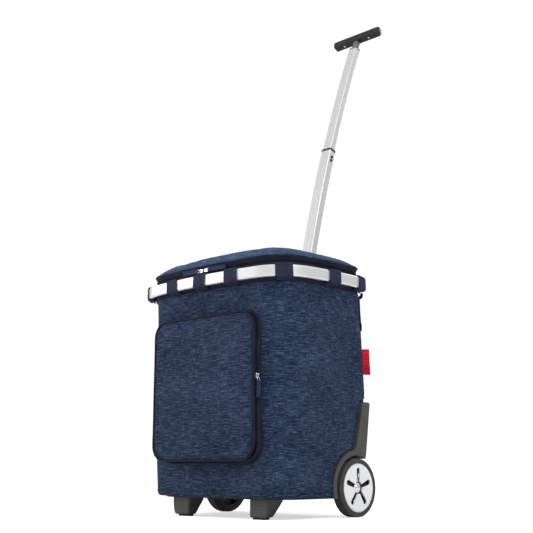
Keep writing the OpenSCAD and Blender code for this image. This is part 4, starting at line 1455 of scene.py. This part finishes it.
def zip_slider(name, origin, forward, out, side, node, body_name):
    """A slider: two plates and the post between them, a bridge and side rails. Local x runs along the zip, y across
    it, z outwards."""
    l, w = 0.0098, 0.0072
    parts = [plate(slider_shape(w, w * 0.78, l), 0.0002, 0.0013, 0.0004),
             plate(slider_shape(w * 0.96, w * 0.74, l * 0.96), -0.0022, -0.0014, 0.0003),
             plate([(x * 0.30 + l * 0.22, y * 0.34) for x, y in slider_shape(w, w * 0.6, l)], -0.0016, 0.0004, 0)]
    arc = [math.pi * i / 12 for i in range(13)]
    bridge = [(-l * 0.34 * math.cos(a), 0, 0.0010 + 0.0023 * min(1.0, math.sin(a) * 1.35)) for a in arc]
    parts.append(sweep("bridge", bridge, rect_section(0.0019, 0.0008, 0.0003, 2), up=(0, 1, 0.001), mats=(M_SLIDER,)))
    for s in (1, -1):
        rail = [(l * x, s * w * y, -0.0001) for x, y in ((-0.44, 0.37), (0.05, 0.42), (0.40, 0.44))]
        parts.append(sweep("rail", rail, rect_section(0.0007, 0.0010, 0.0002, 2), mats=(M_SLIDER,)))
    o = join(name, parts)
    place(o, origin, Vector(forward), Vector(side), Vector(out))
    attach(o, body_name, node)


def fabric_pull(name, origin, forward, out, side, x1, node, body_name, seed):
    """A folded webbing pull on a small wire ring. Local x runs along it from its pivot, x1 is its end."""
    width, x0, t = 0.0085, 0.0052, 0.00085
    turn = [2 * math.pi * i / 28 for i in range(28)]
    ring = [(0.0022 + 0.0034 * math.cos(a), 0.0031 * math.sin(a) * (1.0 if math.cos(a) > 0 else 0.8), 0.0004)
            for a in turn]
    wire = piping("wire", ring, 0.0006, M_SLIDER, closed=True)
    # the webbing goes round the ring's far side and back on itself, the two layers stitched together
    n = 34
    us = [i / (n - 1) for i in range(n)]
    xs = [x0 + (x1 - x0) * u for u in us]
    zs = [0.0004 + 0.0007 * math.sin(u * 2.6 + seed) - 0.0003 * u for u in us]
    gaps = [0.00075 + 0.0007 * max(0.0, 1 - i / 4.0) for i in range(n)]
    upper = [(x, z + g) for x, z, g in zip(xs, zs, gaps)]
    lower = [(x, z - g) for x, z, g in zip(xs, zs, gaps)]
    bend = [math.pi / 2 + math.pi * i / 7 for i in range(1, 7)]
    bend = [(x0 - 0.0001 + 0.0013 * math.cos(a), zs[0] + 0.00145 * math.sin(a)) for a in bend]
    rows = []
    for x, z in upper[::-1] + bend + lower:
        narrow = 1.0 if x > x0 + 0.003 else 0.86 + 0.14 * max(0.0, (x - x0) / 0.003)
        rows.append([(x, v * width * narrow, z - 0.00008 * (abs(v) * 2) ** 4) for v in across(1.0, 9)])
    parts = [wire, cloth("strap", rows, t, 0.0, M_PULL)]
    # stitches across both ends and along both edges
    first, last = x0 + 0.0052, x1 - 0.0022
    for x in (first, last):
        line = [(x, y, 0.0015 + np.interp(x, xs, zs)) for y in across(width * 0.8, 11)]
        parts.append(stitches("st", line, [(0, 0, 1)] * 11, M_THREAD, 0.0016, 0.0013, 0.00022))
    for s in (-1, 1):
        line = [(x, s * width * 0.4, 0.0015 + np.interp(x, xs, zs)) for x in np.linspace(first, last, 20)]
        parts.append(stitches("st", line, [(0, 0, 1)] * 20, M_THREAD, 0.0019, 0.0014, 0.0002))
    o = join(name, parts)
    place(o, origin, Vector(forward), Vector(side), Vector(out))
    attach(o, body_name, node)


# for each side of the lid's zip: where the slider and its pull's pivot are across, the pull's angle and its bend
for _side, _x, _pivot, _angle, _bend in (("left", -8.5, -12.6, 178, 0.4), ("right", 4.5, 8.6, 2, 1.9)):
    _s = -1 if _side == "left" else 1
    _c, _a = math.cos(math.radians(_angle)), math.sin(math.radians(_angle))
    zip_slider("lid_zip_slider_" + _side, W(_x, FRONT_Y + 9.6, TAPE_MID), (_s, 0, 0), (0, -1, 0), (0, 0, 1),
               "lid_slider_" + _side, "lid_zip_" + _side)
    fabric_pull("lid_pull_tab_" + _side, W(_pivot, -136.2, TAPE_MID), (_c, _a, 0), (_s * _a, -_s * _c, 0), (0, 0, 1),
                0.0445, "lid_pull_" + _side, "lid_tab_" + _side, _bend)
zip_slider("pocket_zip_slider", W(129.0, PK_ZIP_Y, 240.0), (0, 0, 1), (1, 0, 0), (0, 1, 0), "pocket_slider",
           "pocket_zip")
fabric_pull("pocket_pull_tab", W(132.2, PK_ZIP_Y, 236.2), (0, 0, -1), (1, 0, 0), (0, 1, 0), 0.0335, "pocket_pull",
            "pocket_tab", 0.9)


# ------------------------------------------------------------------ side label
# The way out of the right-hand seam, across and to the rear
OUT_X, OUT_Y = 0.80, 0.60


def seam_point(z, side=1, d=0.0):
    """Where the side seam stands at height z: the point past the front corner that faces along the way out."""
    ring = bag_ring(z)
    i = max(range(60, sum(COLS)), key=lambda i: np.dot(normal_at(ring, i), (OUT_X, OUT_Y)))
    (x, y), (nx, ny) = ring[i], normal_at(ring, i)
    return side * (x + nx * d), y + ny * d, side * nx, ny


def build_tag():
    """The plain label in the right-hand seam: a folded strip, curling a little."""
    steps = [i / 12 for i in range(13)]
    fold = [math.pi / 2 - math.pi * i / 6 for i in range(1, 6)]
    section = [(-1.6 + 15.4 * t, 0.62 - 0.35 * t) for t in steps]
    section += [(13.8 + 0.45 * math.cos(a), 0.27 * math.sin(a)) for a in fold]
    section += [(-1.6 + 15.4 * t, -0.62 + 0.35 * t) for t in reversed(steps)]
    rows = []
    for j in range(26):
        t = j / 25
        z = 256.5 + 46.0 * t
        x, y, _, _ = seam_point(z)
        curl = 0.9 * math.sin(t * 3.0 + 0.4)
        row = []
        for a, b in section:
            f = max(0.0, a) / 14.0
            b += curl * f * f + 0.25 * math.sin(t * 7 + a * 0.2) * f
            row.append(W(x + OUT_X * a - OUT_Y * b, y + OUT_Y * a + OUT_X * b, z - 0.8 * f * (1 - t)))
        rows.append(row)
    path = []
    for z in np.linspace(258.0, 301.0, 16):
        x, y, _, _ = seam_point(z)
        path.append(W(x + OUT_X * 1.6 + OUT_Y * 0.85, y + OUT_Y * 1.6 - OUT_X * 0.85, z))
    parts = [cloth("side_label", rows, 0.0004, 0.0, M_RED),
             stitches("st", path, [(OUT_Y, -OUT_X, 0)] * len(path), M_RED, 0.003, 0.0022, 0.00025)]
    attach(join("side_label", parts), "frame", "side_tag")


build_tag()


for _s, _side in ((1, "right"), (-1, "left")):
    _path = [W(*seam_point(z, _s, 0.25)[:2], z) for z in np.linspace(212.0, 393.0, 70)]
    attach(piping("side_seam_" + _side, _path, 0.00085, M_PIPE, 7, 0.8, up=(_s * OUT_Y, -OUT_X, 0)), "frame")


# ------------------------------------------------------------------ black cloth over the rear of the bag's mouth
REAR = [i for i in range(len(RING_T)) if RING_T[i][1] > 80]


def build_back_panel():
    """A black strip across the back, open for the tube and its clamp, with a small curled tab at each end."""
    rows = []
    for z in (336.5, 337.5, 339, 342, 346, 350, 356, 363, 370, 377, 384, 389, 392.6):
        ring = bag_ring(z)
        row = []
        for i in REAR:
            (x, y), (nx, ny) = ring[i], normal_at(ring, i)
            hem = 1.1 * math.exp(-((z - 343.0) / 5.5) ** 2)
            k = 2.0 if abs(x) < 26 else 2.3 + hem + 0.5 * fbm(x * 0.02, z * 0.03, 21.0, 2)
            row.append(W(x + nx * k, y + ny * k, z))
        rows.append(row)
    o = cloth("back_cloth", rows, 0.0022, -1.0, M_BLACKCLOTH)
    cut(o, tube_cutter((320, 345, 372, 400), -60))
    parts = [o]
    for z, k in ((346.5, 3.7), (389.6, 2.9)):
        ring = bag_ring(z)
        for right in (True, False):
            spots = [i for i in REAR if abs(ring[i][0]) >= 20 and (ring[i][0] > 0) == right]
            normals = [normal_at(ring, i) for i in spots]
            path = [W(ring[i][0] + nx * k, ring[i][1] + ny * k, z) for i, (nx, ny) in zip(spots, normals)]
            parts.append(stitches("st", path, [(*n, 0) for n in normals], M_BLACKCLOTH, 0.0036, 0.0026, 0.0003))
    for s in (1, -1):
        x, y, nx, ny = seam_point(398.0, s)
        rows = []
        for i in range(12):
            a = i / 11
            out = 1.1 + 5.2 * math.sin(a * 1.9)
            z = 396.5 + 7.0 * a - 3.0 * math.sin(a * 3.1)
            rows.append([W(x + nx * out - s * ny * v, y + ny * out + s * nx * v, z) for v in across(9.0, 5)])
        parts.append(cloth("tab", rows, 0.0050, 0.0, M_BLACKCLOTH))
    attach(join("back_cloth", parts), "frame", "back_panel")


build_back_panel()


def slot_binding():
    """Binding round the slot that the tube comes out of."""
    low, half = 274.0, 17.2
    path = [(half, z) for z in np.linspace(392, low, 30)]
    path += [(half * math.cos(a), low - 5.0 * math.sin(a)) for a in np.linspace(0.2, math.pi - 0.2, 12)]
    path += [(-half, z) for z in np.linspace(low, 392, 30)]
    pts = []
    for x, z in path:
        back = np.array(sorted(p for p in bag_ring(z) if p[1] > 80 and abs(p[0]) < 60))
        pts.append(W(x, np.interp(x, back[:, 0], back[:, 1]) + 0.2, z))
    attach(piping("tube_slot_binding", pts, 0.0017, M_PIPE, up=(0, 1, 0)), "frame")


slot_binding()
